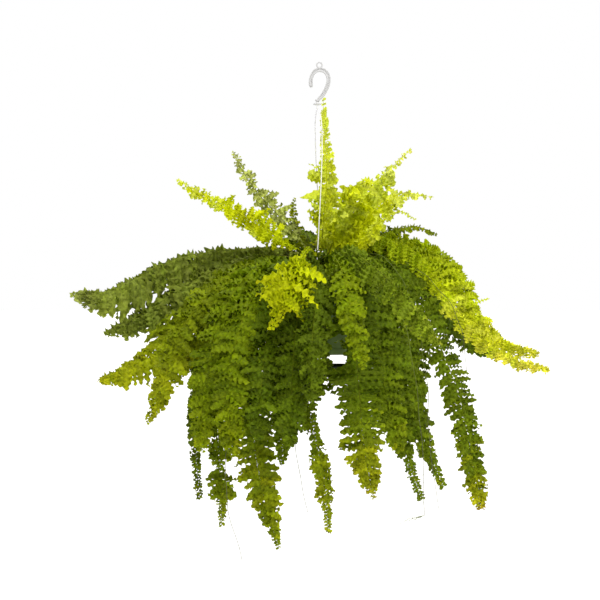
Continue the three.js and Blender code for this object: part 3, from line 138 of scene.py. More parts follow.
STYLE = {
    "frond_01": dict(
        shape=[(0, 0), (0.1, 0.5), (0.2, 0.72), (0.35, 0.74), (0.45, 0.64), (0.56, 0.52), (0.66, 0.4), (0.72, 0.34), (0.86, 0.3), (0.9, 0.26), (1, 0.16)],
        shape_left=[(0, 0), (0.08, 0.4), (0.165, 0.45), (0.175, 1.0), (0.225, 1.0), (0.235, 0.4), (0.255, 1.0), (0.33, 1.0), (0.345, 0.4), (0.445, 0.4), (0.456, 1.3), (0.515, 1.3), (0.53, 0.5), (0.68, 0.3), (0.86, 0.24), (0.9, 0.18), (1, 0.1)],
        gaps=[(1, 0.288, 0.305, 1), (1, 0.385, 0.42, 0.4), (1, 0.45, 0.5, 0.3), (0, 0.9, 1, 0.25)],
        pitch=5.4, pitch_tip=4.6, wide=16, sag=0.1, droop=0.25, turn=0.0, ruffle=0.5, splay=78, splay_tip=56, stalk=30, scatter=0.9,
        yellow=[(0, 0.28), (0.3, 0.54), (0.5, 0.64), (0.65, 0.72), (0.8, 0.76), (1, 0.6)], single=[(0.432, 1, 56, 21, 113), (0.42, -1, 26, 16, 84)]),
    "frond_02": dict(shape=[(0, 0), (0.1, 0.35), (0.25, 0.75), (0.45, 0.72), (0.6, 0.52), (0.75, 0.38), (0.88, 0.28), (1, 0.12)], pitch=8.5, wide=12, sag=0.15, droop=0.35, turn=0.6,
                     yellow=[(0, 0.5), (0.3, 0.75), (1, 0.92)], shape_left=[(0, 0), (0.1, 0.4), (0.25, 1), (0.45, 1.04), (0.6, 0.84), (0.75, 0.6), (0.88, 0.38), (1, 0.12)], scatter=1.5, ruffle=0.75),
    "frond_03": dict(shape=[(0, 0), (0.1, 0.4), (0.22, 0.68), (0.5, 0.68), (0.62, 0.48), (0.75, 0.36), (0.88, 0.3), (1, 0.12)], pitch=7.5, wide=13, sag=0.2, droop=0.5, turn=0.6, ruffle=0.75, frill=1.2, scatter=1.3,
                     yellow=[(0, 0.0), (0.3, 0.26), (0.7, 0.46), (1, 0.62)], shape_left=[(0, 0), (0.1, 0.6), (0.22, 1.04), (0.5, 1.02), (0.62, 0.74), (0.75, 0.5), (0.88, 0.34), (1, 0.12)]),
    "frond_04": dict(shape=[(0, 0), (0.15, 0.6), (0.3, 0.9), (0.6, 0.6), (0.85, 0.35), (1, 0.15)], pitch=8, wide=10, sag=0.15, droop=0.3, yellow=[(0, 0.3), (1, 0.6)]),
    # frond_05 to frond_09, the upright group at the front: their yellow tables run high partly for the real yellowing
    # of the leaves and partly as painted light, lightening fronds that sit in shade
    "frond_05": dict(shape=[(0, 0), (0.1, 0.6), (0.22, 1.15), (0.4, 1.28), (0.56, 1.22), (0.64, 0.66), (0.7, 0.32), (0.85, 0.2), (1, 0.14)], pitch=8, pitch_tip=7, wide=16, sag=0.2, droop=0.5, turn=0.5, ruffle=0.6, frill=1.0, scatter=1.3, stalk=25,
                     gaps=[(0, 0.68, 1, 0.35)], yellow=[(0, 0.2), (0.3, 0.42), (0.6, 0.52), (0.75, 0.75), (1, 0.8)], shape_left=[(0, 0), (0.1, 0.6), (0.22, 1), (0.55, 1), (0.68, 0.9), (0.75, 0.55), (0.8, 0.22), (1, 0.14)], spread=1.12),
    "frond_06": dict(shape=[(0, 0), (0.1, 0.6), (0.22, 1), (0.62, 1), (0.74, 0.55), (0.86, 0.3), (1, 0.14)], pitch=8, wide=15, sag=0.25, droop=0.6, turn=0.5, ruffle=0.6, frill=1.0, scatter=1.3, stalk=25, spread=1.16,
                     gaps=[(0, 0.84, 1, 0.25)], yellow=[(0, 0.2), (0.3, 0.42), (0.6, 0.52), (0.75, 0.75), (1, 0.8)], shape_left=[(0, 0), (0.1, 0.6), (0.22, 1), (0.6, 0.9), (0.7, 0.45), (0.86, 0.26), (1, 0.14)]),
    "frond_07": dict(shape=[(0, 0), (0.1, 0.6), (0.25, 1), (0.5, 0.8), (0.6, 0.42), (0.68, 0.22), (1, 0.14)], pitch=8, wide=15, sag=0.25, droop=0.5, turn=0.5, stalk=25, yellow=[(0, 0.15), (0.2, 0.35), (0.6, 0.5), (1, 0.7)], shape_left=[(0, 0), (0.1, 0.6), (0.25, 1), (0.5, 0.7), (0.6, 0.2), (0.68, 0.14), (1, 0.12)], ruffle=0.6),
    "frond_08": dict(shape=[(0, 0), (0.08, 0.3), (0.2, 1), (0.5, 0.9), (0.62, 0.62), (0.72, 0.46), (0.9, 0.42), (1, 0.16)], pitch=8, sag=0.3, droop=0.6, yellow=[(0, 0.2), (0.6, 0.4), (1, 0.6)]),
    "frond_09": dict(shape=[(0, 0.6), (0.15, 0.9), (0.3, 1), (0.8, 1), (0.93, 0.8), (1, 0.4)], pitch=7, wide=16, sag=0.1, droop=0.4, turn=0.4, ruffle=0.65, frill=1.1, scatter=1.4, stalk=8, yellow=[(0, 0.25), (0.3, 0.4), (0.6, 0.48), (1, 0.52)]),
    "frond_10": dict(shape=[(0, 0), (0.06, 0.3), (0.13, 0.8), (0.22, 1), (0.5, 1.1), (0.8, 1.12), (0.88, 0.76), (0.94, 0.4), (1, 0.1)], shape_left=POINTED, spread=1.25, pitch=8.5, wide=16, sag=0.7, droop=1.1, twist=30,
                     turn=0.55, ruffle=0.7, yellow=[(0, 0.25), (0.5, 0.25), (0.75, 0.14), (0.88, 0.45), (1, 0.66)]),
    "frond_11": dict(shape=[(0, 0), (0.06, 0.3), (0.13, 0.8), (0.22, 1), (0.62, 1), (0.74, 0.82), (0.84, 0.62), (0.93, 0.42), (1, 0.18)], shape_left=[(0, 0), (0.06, 0.3), (0.13, 0.8), (0.22, 1.05), (0.5, 1.2), (0.62, 1.34), (0.8, 1.26), (0.87, 0.86), (0.94, 0.5), (1, 0.2)], spread=1.15, pitch=8.5, wide=16, sag=0.7, droop=1.1, twist=30, turn=0.6, ruffle=0.7,
                     yellow=[(0, 0.2), (0.5, 0.22), (0.8, 0.1), (1, 0.25)]),
    "frond_12": dict(shape=[(0, 0), (0.06, 0.3), (0.13, 0.8), (0.22, 1), (0.6, 1), (0.74, 0.96), (0.86, 0.74), (0.94, 0.44), (1, 0.16)], turn=0.55, spread=1.3, sag=0.5, droop=0.9, yellow=[(0, 0.15), (0.6, 0.25), (0.8, 0.5), (1, 0.7)], shape_left=[(0, 0), (0.06, 0.3), (0.13, 0.8), (0.22, 1), (0.5, 1.05), (0.6, 1.3), (0.7, 1.25), (0.78, 0.85), (0.93, 0.5), (1, 0.16)]),
    "frond_13": dict(turn=0.5, yellow=[(0, 0.1), (0.6, 0.2), (0.8, 0.5), (1, 0.6)], shape=[(0, 0), (0.06, 0.3), (0.14, 0.85), (0.25, 1), (0.72, 1), (0.84, 0.78), (0.93, 0.44), (1, 0.1)]),
    "frond_14": dict(turn=0.5, yellow=[(0, 0.1), (0.6, 0.2), (0.8, 0.5), (1, 0.6)]),
    "frond_15": dict(shape=[(0, 0), (0.1, 0.08), (0.46, 0.08), (0.53, 0.3), (0.59, 0.8), (0.64, 0.96), (0.79, 0.96), (0.84, 0.56), (0.88, 0.26), (1, 0.12)],
                     pitch=5, wide=15, ruffle=0.9, sag=0.3, droop=0.5, frill=1.3, scatter=1.5, yellow=[(0, 0.1), (0.36, 0.35), (0.5, 0.6), (0.6, 0.66), (1, 0.76)]),
    "frond_16": dict(shape=[(0, 0), (0.06, 0.3), (0.13, 0.8), (0.22, 1.02), (0.36, 1.12), (0.5, 1.04), (0.6, 0.92), (0.75, 0.55), (0.85, 0.42), (0.95, 0.42), (1, 0.14)],
                     shape_left=[(0, 0), (0.06, 0.3), (0.13, 0.7), (0.22, 0.76), (0.45, 0.64), (0.55, 0.54), (0.64, 0.46), (0.74, 0.36), (0.93, 0.3), (1, 0.14)], spread=1.1,
                     pitch=6, wide=12, ruffle=1.0, sag=0.5, droop=0.8, twist=30, turn=0.5, frill=1.5, scatter=1.5, yellow=[(0, 0.0), (0.3, 0.12), (0.42, 0.28), (0.55, 0.48), (0.75, 0.62), (1, 0.8)]),
    "frond_17": dict(shape=[(0, 0), (0.06, 0.35), (0.13, 0.9), (0.22, 1.1), (0.34, 1.28), (0.47, 1.26), (0.56, 1.02), (0.7, 0.88), (0.8, 0.55), (0.92, 0.36), (1, 0.14)],
                     shape_left=[(0, 0), (0.06, 0.3), (0.13, 0.8), (0.22, 1), (0.7, 0.9), (0.82, 0.6), (0.93, 0.55), (1, 0.2)], spread=0.9,
                     pitch=6, wide=12, ruffle=1.0, sag=0.5, droop=0.8, twist=30, turn=0.5, frill=1.5, scatter=1.3, yellow=[(0, 0.0), (0.3, 0.08), (0.42, 0.18), (0.55, 0.34), (0.75, 0.56), (1, 0.76)]),
    "frond_18": dict(shape=WIDE, sag=0.6, droop=1.1, turn=0.3, yellow=[(0, 0), (1, 0.1)], shape_left=[(0, 0), (0.06, 0.3), (0.13, 0.8), (0.22, 1), (0.6, 1.12), (0.76, 1.08), (0.84, 0.8), (0.92, 0.5), (1, 0.24)]),
    "frond_19": dict(shape=[(0, 0), (0.06, 0.2), (0.13, 0.72), (0.22, 1), (0.7, 0.92), (0.85, 0.82), (0.94, 0.7), (1, 0.24)], turn=0.75, pitch=9.5, wide=12.5, yellow=[(0, 0.15), (0.75, 0.28), (0.88, 0.45), (1, 0.95)], spread=0.93, single=[(0.63, 1, 40, 13, 62)]),
    "frond_20": dict(shape=[(0, 0), (0.06, 0.2), (0.13, 0.72), (0.22, 1), (0.45, 0.9), (0.5, 0.68), (0.66, 0.68), (0.72, 0.85), (0.78, 0.6), (0.84, 0.36), (1, 0.22)], turn=0.65, yellow=[(0, 0.1), (0.8, 0.25), (1, 0.4)], shape_left=[(0, 0), (0.06, 0.2), (0.13, 0.72), (0.22, 1), (0.7, 0.95), (0.78, 0.6), (0.84, 0.36), (1, 0.22)]),
    "frond_21": dict(shape=[(0, 0), (0.06, 0.2), (0.13, 0.72), (0.22, 1), (0.4, 0.95), (0.5, 0.78), (0.74, 0.78), (0.82, 0.6), (0.88, 0.42), (1, 0.26)], turn=0.65, yellow=[(0, 0.1), (0.8, 0.25), (1, 0.4)], shape_left=[(0, 0), (0.06, 0.2), (0.13, 0.72), (0.22, 1), (0.74, 0.95), (0.82, 0.66), (0.88, 0.42), (1, 0.26)]),
    "frond_22": dict(shape=WIDE, turn=0.5),
    "frond_23": dict(shape=POINTED, turn=0.3, pitch=7.0, wide=13, splay=90, splay_tip=80, spread=1.08, gaps=[], yellow=[(0, 0.0), (0.65, 0.12), (0.82, 0.58), (1, 0.86)], shape_left=[(0, 0), (0.06, 0.3), (0.13, 0.8), (0.22, 1), (0.42, 1), (0.452, 0.44), (0.52, 0.42), (0.54, 1.0), (0.575, 0.98), (0.6, 0.92), (0.78, 0.84), (0.84, 0.72), (0.9, 0.5), (0.95, 0.28), (1, 0.05)], sag=0.15, droop=0.35, single=[(0.57, 1, 68, 16, 88), (0.585, 1, 66, 15, 90)]),
    "frond_24": dict(shape=[(0, 0), (0.08, 0.3), (0.2, 0.9), (0.36, 0.95), (0.39, 1.3), (0.53, 1.3), (0.56, 0.7), (0.6, 0.42), (0.7, 0.38), (0.74, 0.56), (0.78, 0.66), (0.86, 0.64), (0.89, 0.46), (0.94, 0.32), (1, 0.24)], turn=0.3, gaps=[], yellow=[(0, 0.05), (0.6, 0.2), (0.78, 0.5), (1, 0.65)], shape_left=[(0, 0), (0.08, 0.3), (0.2, 0.9), (0.55, 1), (0.62, 0.95), (0.66, 0.6), (0.69, 0.38), (0.715, 0.42), (0.73, 0.85), (0.765, 0.85), (0.78, 0.6), (0.81, 0.58), (0.85, 0.74), (0.875, 0.7), (0.895, 0.36), (0.94, 0.24), (1, 0.2)], pitch=7.6, wide=13),
    "frond_25": dict(shape=[(0, 0), (0.06, 0.3), (0.13, 0.8), (0.22, 1), (0.6, 1), (0.7, 1), (0.78, 0.84), (0.84, 0.64), (0.93, 0.3), (1, 0.08)], turn=0.55, yellow=[(0, 0.0), (0.45, 0.08), (0.6, 0.24), (0.72, 0.52), (0.85, 0.5), (1, 0.55)], shape_left=[(0, 0), (0.06, 0.3), (0.13, 0.8), (0.22, 1), (0.6, 1), (0.7, 1.05), (0.78, 0.84), (0.84, 0.6), (0.93, 0.26), (1, 0.08)]),
    "frond_26": dict(shape=POINTED, turn=0.4, yellow=[(0, 0), (1, 0.15)]),
    "frond_27": dict(shape=[(0, 0), (0.06, 0.2), (0.13, 0.72), (0.22, 1), (0.7, 0.95), (0.76, 0.8), (0.79, 0.66), (0.8, 0.3), (0.815, 0.26), (0.825, 0.9), (0.84, 1.08), (0.88, 0.98), (0.915, 0.36), (1, 0.2)], turn=0.65, yellow=[(0, 0.0), (0.6, 0.15), (1, 0.55)], shape_left=[(0, 0), (0.06, 0.2), (0.13, 0.72), (0.22, 1), (0.7, 0.95), (0.76, 0.8), (0.79, 0.66), (0.8, 0.3), (0.815, 0.26), (0.825, 0.74), (0.84, 0.86), (0.88, 0.8), (0.915, 0.32), (1, 0.2)]),
    "frond_28": dict(shape=[(0, 0), (0.06, 0.2), (0.13, 0.72), (0.22, 1), (0.68, 0.95), (0.76, 0.62), (0.82, 0.38), (1, 0.24)], turn=0.75, yellow=[(0, 0), (0.6, 0.1), (1, 0.4)], spread=0.92, shape_left=[(0, 0), (0.06, 0.2), (0.13, 0.72), (0.22, 1), (0.7, 1), (0.76, 0.76), (0.82, 0.58), (0.9, 0.52), (1, 0.28)]),
    "frond_29": dict(shape=WIDE, turn=0.5, wide=15),
    "frond_30": dict(shape=WIDE, turn=0.4, wide=15),
    "frond_31": dict(shape=WIDE, turn=0.4, yellow=[(0, 0), (1, 0.1)]),
    "frond_32": dict(shape=WIDE, turn=0.4, yellow=[(0, 0), (1, 0.1)]),
    "frond_33": dict(shape=WIDE, turn=0.4, yellow=[(0, 0), (1, 0.1)]),
    "frond_34": dict(shape=[(0, 0), (0.1, 0.3), (0.2, 0.5), (0.7, 0.42), (1, 0.2)], shape_left=[(0, 0), (0.06, 0.3), (0.13, 0.8), (0.22, 1), (0.7, 1), (0.84, 0.86), (0.93, 0.6), (1, 0.2)],
                     sag=0.5, droop=0.8, wide=12, pitch=7, turn=0.5, ruffle=0.8, frill=1.3, scatter=1.5, yellow=[(0, 0.1), (0.5, 0.3), (1, 0.5)]),
    "frond_35": dict(pitch=9, wide=13, yellow=[(0, 0.1), (1, 0.3)]),
    "frond_36": dict(shape=WIDE, shape_left=[(0, 0), (0.1, 0.6), (0.3, 0.9), (0.45, 0.6), (0.6, 0.4), (1, 0.2)], sag=0.5, droop=0.8, turn=0.5, ruffle=0.9, frill=1.4, scatter=1.8, wide=12, pitch=6.5, yellow=[(0, 0.2), (0.5, 0.35), (1, 0.6)]),
    "frond_37": dict(shape=[(0, 0), (0.1, 0.3), (0.25, 0.9), (0.5, 0.95), (0.7, 0.8), (0.77, 0.4), (0.8, 0.26), (0.89, 0.26), (0.92, 0.9), (1, 0.7)],
                     shape_left=[(0, 0), (0.1, 0.3), (0.25, 1), (0.9, 1), (1, 0.8)], turn=0.3, pitch=7, yellow=[(0, 0), (1, 0.1)]),
    "frond_39": dict(shape=[(0, 0), (0.06, 0.3), (0.13, 0.8), (0.22, 1), (0.6, 0.84), (0.76, 0.56), (0.9, 0.4), (1, 0.2)]),
}
for k in range(38, 49):  # behind the pot
    STYLE["frond_%02d" % k] = dict(turn=0.0)

# ---- mesh helpers ---------------------------------------------------------------
def unit(v):
    return v / np.maximum(np.linalg.norm(v, axis=-1, keepdims=True), 1e-12)


def smooth(t):
    t = np.clip(t, 0, 1)
    return t * t * (3 - 2 * t)


def catmull(points, samples):
    """Even places along a centripetal Catmull-Rom line, their directions, and its length."""
    p = np.asarray(points, float)
    q = np.vstack([2 * p[0] - p[1], p, 2 * p[-1] - p[-2]])
    t = np.linspace(0, 1, 24, endpoint=False)[:, None]
    out = []
    for i in range(len(p) - 1):
        a, b, c, d = q[i : i + 4]
        d0, d1, d2 = (max(np.dot(y - x, y - x) ** 0.25, 1e-4) for x, y in ((a, b), (b, c), (c, d)))
        m1 = ((b - a) / d0 - (c - a) / (d0 + d1) + (c - b) / d1) * d1
        m2 = ((c - b) / d1 - (d - b) / (d1 + d2) + (d - c) / d2) * d1
        out.append(b + m1 * t + (3 * (c - b) - 2 * m1 - m2) * t**2 + (2 * (b - c) + m1 + m2) * t**3)
    fine = np.vstack(out + [p[-1:]])
    s = np.concatenate([[0], np.cumsum(np.linalg.norm(np.diff(fine, axis=0), axis=1))])
    even = np.linspace(0, s[-1], samples)
    place = np.stack([np.interp(even, s, fine[:, k]) for k in range(3)], 1)
    return place, unit(np.gradient(place, axis=0)), s[-1]


class Build:
    """Collects closed shells and turns them into one object."""

    def __init__(self):
        self.verts, self.quads, self.tris = [], [], []
        self.qmat, self.tmat, self.edge = [], [], []
        self.quv, self.tuv = {}, {}
        self.count = 0

    def add(self, verts, quads=None, tris=None, mat=0, uvs=None, edge=None):
        """uvs maps a map's name to (numbers for each quad corner, numbers for each triangle corner)."""
        verts = np.asarray(verts, float).reshape(-1, 3)
        self.verts.append(verts)
        self.edge.append(np.zeros(len(verts), bool) if edge is None else edge)
        for faces, store, mats, maps, n, k in (
            (quads, self.quads, self.qmat, self.quv, 4, 0),
            (tris, self.tris, self.tmat, self.tuv, 3, 1),
        ):
            if faces is None or not len(faces):
                continue
            faces = np.asarray(faces, np.int64)
            store.append(faces + self.count)
            mats.append(np.full(len(faces), mat, np.int32))
            for m in ("Leaf", "Frond"):
                given = (uvs or {}).get(m)
                part = given[k] if given is not None else np.zeros((len(faces), n, 2))
                maps.setdefault(m, []).append(np.asarray(part, float).reshape(-1, 2))
        self.count += len(verts)

    def object(self, name, materials, smooth_faces=True, with_uv=True):
        me = bpy.data.meshes.new(name)
        verts = np.vstack(self.verts)
        quads = np.vstack(self.quads) if self.quads else np.zeros((0, 4), np.int64)
        tris = np.vstack(self.tris) if self.tris else np.zeros((0, 3), np.int64)
        loops = np.concatenate([quads.ravel(), tris.ravel()]).astype(np.int32)
        starts = np.concatenate([np.arange(len(quads)) * 4, len(quads) * 4 + np.arange(len(tris)) * 3]).astype(np.int32)
        me.vertices.add(len(verts))
        me.vertices.foreach_set("co", verts.astype(np.float32).ravel())
        me.loops.add(len(loops))
        me.loops.foreach_set("vertex_index", loops)
        me.polygons.add(len(starts))
        me.polygons.foreach_set("loop_start", starts)
        for m in materials:
            me.materials.append(m)
        mats = np.concatenate(self.qmat + self.tmat).astype(np.int32)
        me.polygons.foreach_set("material_index", mats)
        me.polygons.foreach_set("use_smooth", np.full(len(starts), smooth_faces, bool))
        if with_uv:
            for m in ("Leaf", "Frond"):
                layer = me.uv_layers.new(name=m)
                parts = self.quv.get(m, []) + self.tuv.get(m, [])
                layer.data.foreach_set("uv", np.vstack(parts).astype(np.float32).ravel())
        me.update(calc_edges=True)
        edge = np.concatenate(self.edge)
        if edge.any():
            e = np.empty(len(me.edges) * 2, np.int32)
            me.edges.foreach_get("vertices", e)
            e = e.reshape(-1, 2)
            mark = me.attributes.new("sharp_edge", "BOOLEAN", "EDGE")
            mark.data.foreach_set("value", edge[e[:, 0]] & edge[e[:, 1]])
        me.validate()
        ob = bpy.data.objects.new(name, me)
        scene.collection.objects.link(ob)
        return ob


def tube(build, line, radius, sides=6, mat=0, squash=(1.0, 1.0), side_hint=None, round_end=True):
    """A closed rod along the places in line; radius may be one number or one for each place. squash scales it across and through."""
    line = np.asarray(line, float)
    n = len(line)
    r = np.broadcast_to(np.asarray(radius, float), (n,))
    along = unit(np.gradient(line, axis=0))
    hint = np.array([1.0, 0, 0]) if side_hint is None else np.asarray(side_hint, float)
    across = []
    for i in range(n):
        h = hint - along[i] * np.dot(hint, along[i])
        if np.linalg.norm(h) < 0.05:
            h = np.cross(along[i], [0, 1, 0.3])
        h = h / np.linalg.norm(h)
        across.append(h)
        hint = h
    across = np.array(across)
    through = np.cross(along, across)
    a = np.arange(sides) / sides * 2 * math.pi
    ring = (
        across[:, None] * (np.cos(a) * squash[0])[None, :, None]
        + through[:, None] * (np.sin(a) * squash[1])[None, :, None]
    )
    verts = (line[:, None] + ring * r[:, None, None]).reshape(-1, 3)
    i = np.arange(n - 1)[:, None] * sides
    k = np.arange(sides)[None]
    k2 = (k + 1) % sides
    quads = np.stack([i + k, i + k2, i + sides + k2, i + sides + k], -1).reshape(-1, 4)
    tip = len(verts)
    lift = r[-1] * (0.7 if round_end else 0.02)
    ends = np.stack([line[0] - along[0] * r[0] * (0.4 if round_end else 0.02), line[-1] + along[-1] * lift])
    verts = np.vstack([verts, ends])
    k = np.arange(sides)
    k2 = (k + 1) % sides
    last = (n - 1) * sides
    tris = np.vstack([
        np.stack([np.full(sides, tip), k2, k], -1),
        np.stack([np.full(sides, tip + 1), last + k, last + k2], -1),
    ])
    t = np.repeat(np.linspace(0, 1, n), sides)
    u = np.tile(np.arange(sides) / sides, n)
    uv = np.stack([t, u], 1)
    uv = np.vstack([uv, [[0, 0.5], [1, 0.5]]])
    uvs = {"Leaf": (uv[quads], uv[tris]), "Frond": (uv[quads], uv[tris])}
    build.add(verts, quads, tris, mat=mat, uvs=uvs)


def revolve(profile, sides):
    """Vertices, quads and triangles of a closed solid of revolution about Z. The profile runs from axis to axis, (radius, height)."""
    p = np.asarray(profile, float)
    a = np.arange(sides) / sides * 2 * math.pi
    inner = p[1:-1]
    ring = np.stack([
        inner[:, 0, None] * np.cos(a), inner[:, 0, None] * np.sin(a), np.repeat(inner[:, 1, None], sides, 1),
    ], -1).reshape(-1, 3)
    n = len(inner)
    i = np.arange(n - 1)[:, None] * sides
    k = np.arange(sides)[None]
    k2 = (k + 1) % sides
    quads = np.stack([i + k, i + k2, i + sides + k2, i + sides + k], -1).reshape(-1, 4)
    verts = np.vstack([ring, [[0, 0, p[0, 1]], [0, 0, p[-1, 1]]]])
    k = np.arange(sides)
    k2 = (k + 1) % sides
    first, last = n * sides, n * sides + 1
    tris = np.vstack([
        np.stack([np.full(sides, first), k2, k], -1),
        np.stack([np.full(sides, last), (n - 1) * sides + k, (n - 1) * sides + k2], -1),
    ])
    return verts, quads, tris


def rounded(profile, radius, steps=4):
    """The profile with its inner corners rounded."""
    p = [np.array(x, float) for x in profile]
    out = [p[0]]
    for a, b, c in zip(p, p[1:], p[2:]):
        r = min(radius, 0.45 * np.linalg.norm(b - a), 0.45 * np.linalg.norm(c - b))
        s, e = b + unit(a - b) * r, b + unit(c - b) * r
        for t in np.linspace(0, 1, steps + 1):
            out.append((1 - t) ** 2 * s + 2 * t * (1 - t) * b + t * t * e)
    out.append(p[-1])
    return out


# ---- leaflets ----------------------------------------------------------------------
NU, NV = 26, 4  # steps along and across a leaflet


def leaflet_faces(nu, nv):
    top = lambda i, j: i * (nv + 1) + j
    base = (nu + 1) * (nv + 1)
    def low(i, j):
        if 0 < i < nu and 0 < j < nv:
            return base + (i - 1) * (nv - 1) + (j - 1)
        return top(i, j)
    upper, under = [], []
    for i in range(nu):
        for j in range(nv):
            upper.append([top(i, j), top(i + 1, j), top(i + 1, j + 1), top(i, j + 1)])
            under.append([low(i, j), low(i, j + 1), low(i + 1, j + 1), low(i + 1, j)])
    return np.array(upper), np.array(under)


UPPER, UNDER = leaflet_faces(NU, NV)
U = np.linspace(0, 1, NU + 1)
V = np.linspace(-1, 1, NV + 1)
INNER = np.ix_(range(1, NU), range(1, NV))
OUTLINE = (0.5 + 0.5 * smooth(U / 0.14)) * (1 - np.clip(U, 0, 1) ** 5.0) ** 0.5
OUTLINE[-1] = 0.16
AURICLE = 0.5 * np.exp(-(((U - 0.07) / 0.09) ** 2))


def leaflets(build, base, d0, n0, length, wide, sgn, curl, droop, sick, twist0, twist1, ruffle, phase, freq, cup, yellow, rnd, mats, point=0.0, thick=0.00032):
    """K leaflets as closed thin shells with toothed, ruffled edges. All arguments hold one row for each leaflet."""
    K = len(length)
    u = U[None, :, None]
    theta = curl[:, None, None] * u**1.4
    b0 = sgn[:, None] * np.cross(n0, d0)
    d = d0[:, None] * np.cos(theta) - n0[:, None] * np.sin(theta)
    d = d + droop[:, None, None] * u**1.2 * DOWN + sick[:, None, None] * u * b0[:, None]
    d = unit(d)
    step = (d[:, 1:] + d[:, :-1]) * 0.5 * (length / NU)[:, None, None]
    centre = base[:, None] + np.concatenate([np.zeros((K, 1, 3)), np.cumsum(step, 1)], 1)
    n = unit(n0[:, None] - (n0[:, None] * d).sum(-1, keepdims=True) * d)
    b = sgn[:, None, None] * np.cross(n, d)
    tw = (twist0[:, None] + twist1[:, None] * U[None])[..., None]
    b, n = b * np.cos(tw) + n * np.sin(tw), n * np.cos(tw) - b * np.sin(tw)
    half = 0.5 * wide[:, None] * OUTLINE[None] * (1 - 0.92 * np.broadcast_to(point, (K,))[:, None] * U[None] ** 2.2)
    verts = np.empty((K, NU + 1, NV + 1, 3))
    for j, v in enumerate(V):
        a = abs(v)
        side = 1 if v > 0 else 0
        wave = np.sin(2 * math.pi * freq[:, None] * U[None] + phase[:, side, None])
        swell = 1 + 0.17 * wave * a**2 + 0.06 * np.sin(4.7 * math.pi * freq[:, None] * U[None] + 2 * phase[:, side, None]) * a**3
        across = v * half * swell
        if v > 0:
            across = across + 0.5 * wide[:, None] * AURICLE[None] * v
        lift = np.sin(2 * math.pi * freq[:, None] * U[None] + phase[:, side, None] + 1.3)
        lift = ruffle[:, None] * half * a**1.6 * lift - cup[:, None] * half * a**1.3
        verts[:, :, j] = centre + b * across[..., None] + n * lift[..., None]
    low = verts[:, 1:NU, 1:NV] - n[:, 1:NU, None] * thick
    per = (NU + 1) * (NV + 1) + (NU - 1) * (NV - 1)
    everything = np.concatenate([verts.reshape(K, -1, 3), low.reshape(K, -1, 3)], 1)
    edge = np.zeros((NU + 1, NV + 1), bool)
    edge[0] = edge[-1] = True
    edge[:, 0] = edge[:, -1] = True
    edge = np.concatenate([edge.ravel(), np.zeros((NU - 1) * (NV - 1), bool)])
    uv = np.stack(np.meshgrid(U, (V + 1) / 2, indexing="ij"), -1)
    uv = np.concatenate([uv.reshape(-1, 2), uv[1:NU, 1:NV].reshape(-1, 2)])
    faces, maps, frond = [], [], []
    for face, under in ((UPPER, 0.0), (UNDER, 1.0)):
        for want in (1, -1):
            rows = np.nonzero(sgn == want)[0]
            if not len(rows):
                continue
            f = face if want > 0 else face[:, ::-1]
            faces.append((rows[:, None, None] * per + f[None]).reshape(-1, 4))
            maps.append(np.broadcast_to(uv[f][None], (len(rows), *f.shape, 2)).reshape(-1, 4, 2))
            data = np.stack([yellow[rows], rnd[rows] * 0.96 + 0.02 + under], -1)
            frond.append(np.broadcast_to(data[:, None, None], (len(rows), *f.shape, 2)).reshape(-1, 4, 2))
    build.add(
        everything.reshape(-1, 3), quads=np.vstack(faces), mat=mats,
        uvs={"Leaf": (np.vstack(maps), None), "Frond": (np.vstack(frond), None)},
        edge=np.tile(edge, K),
    )


def shape_at(table, t):
    return np.interp(t, [a for a, _ in table], [b for _, b in table])


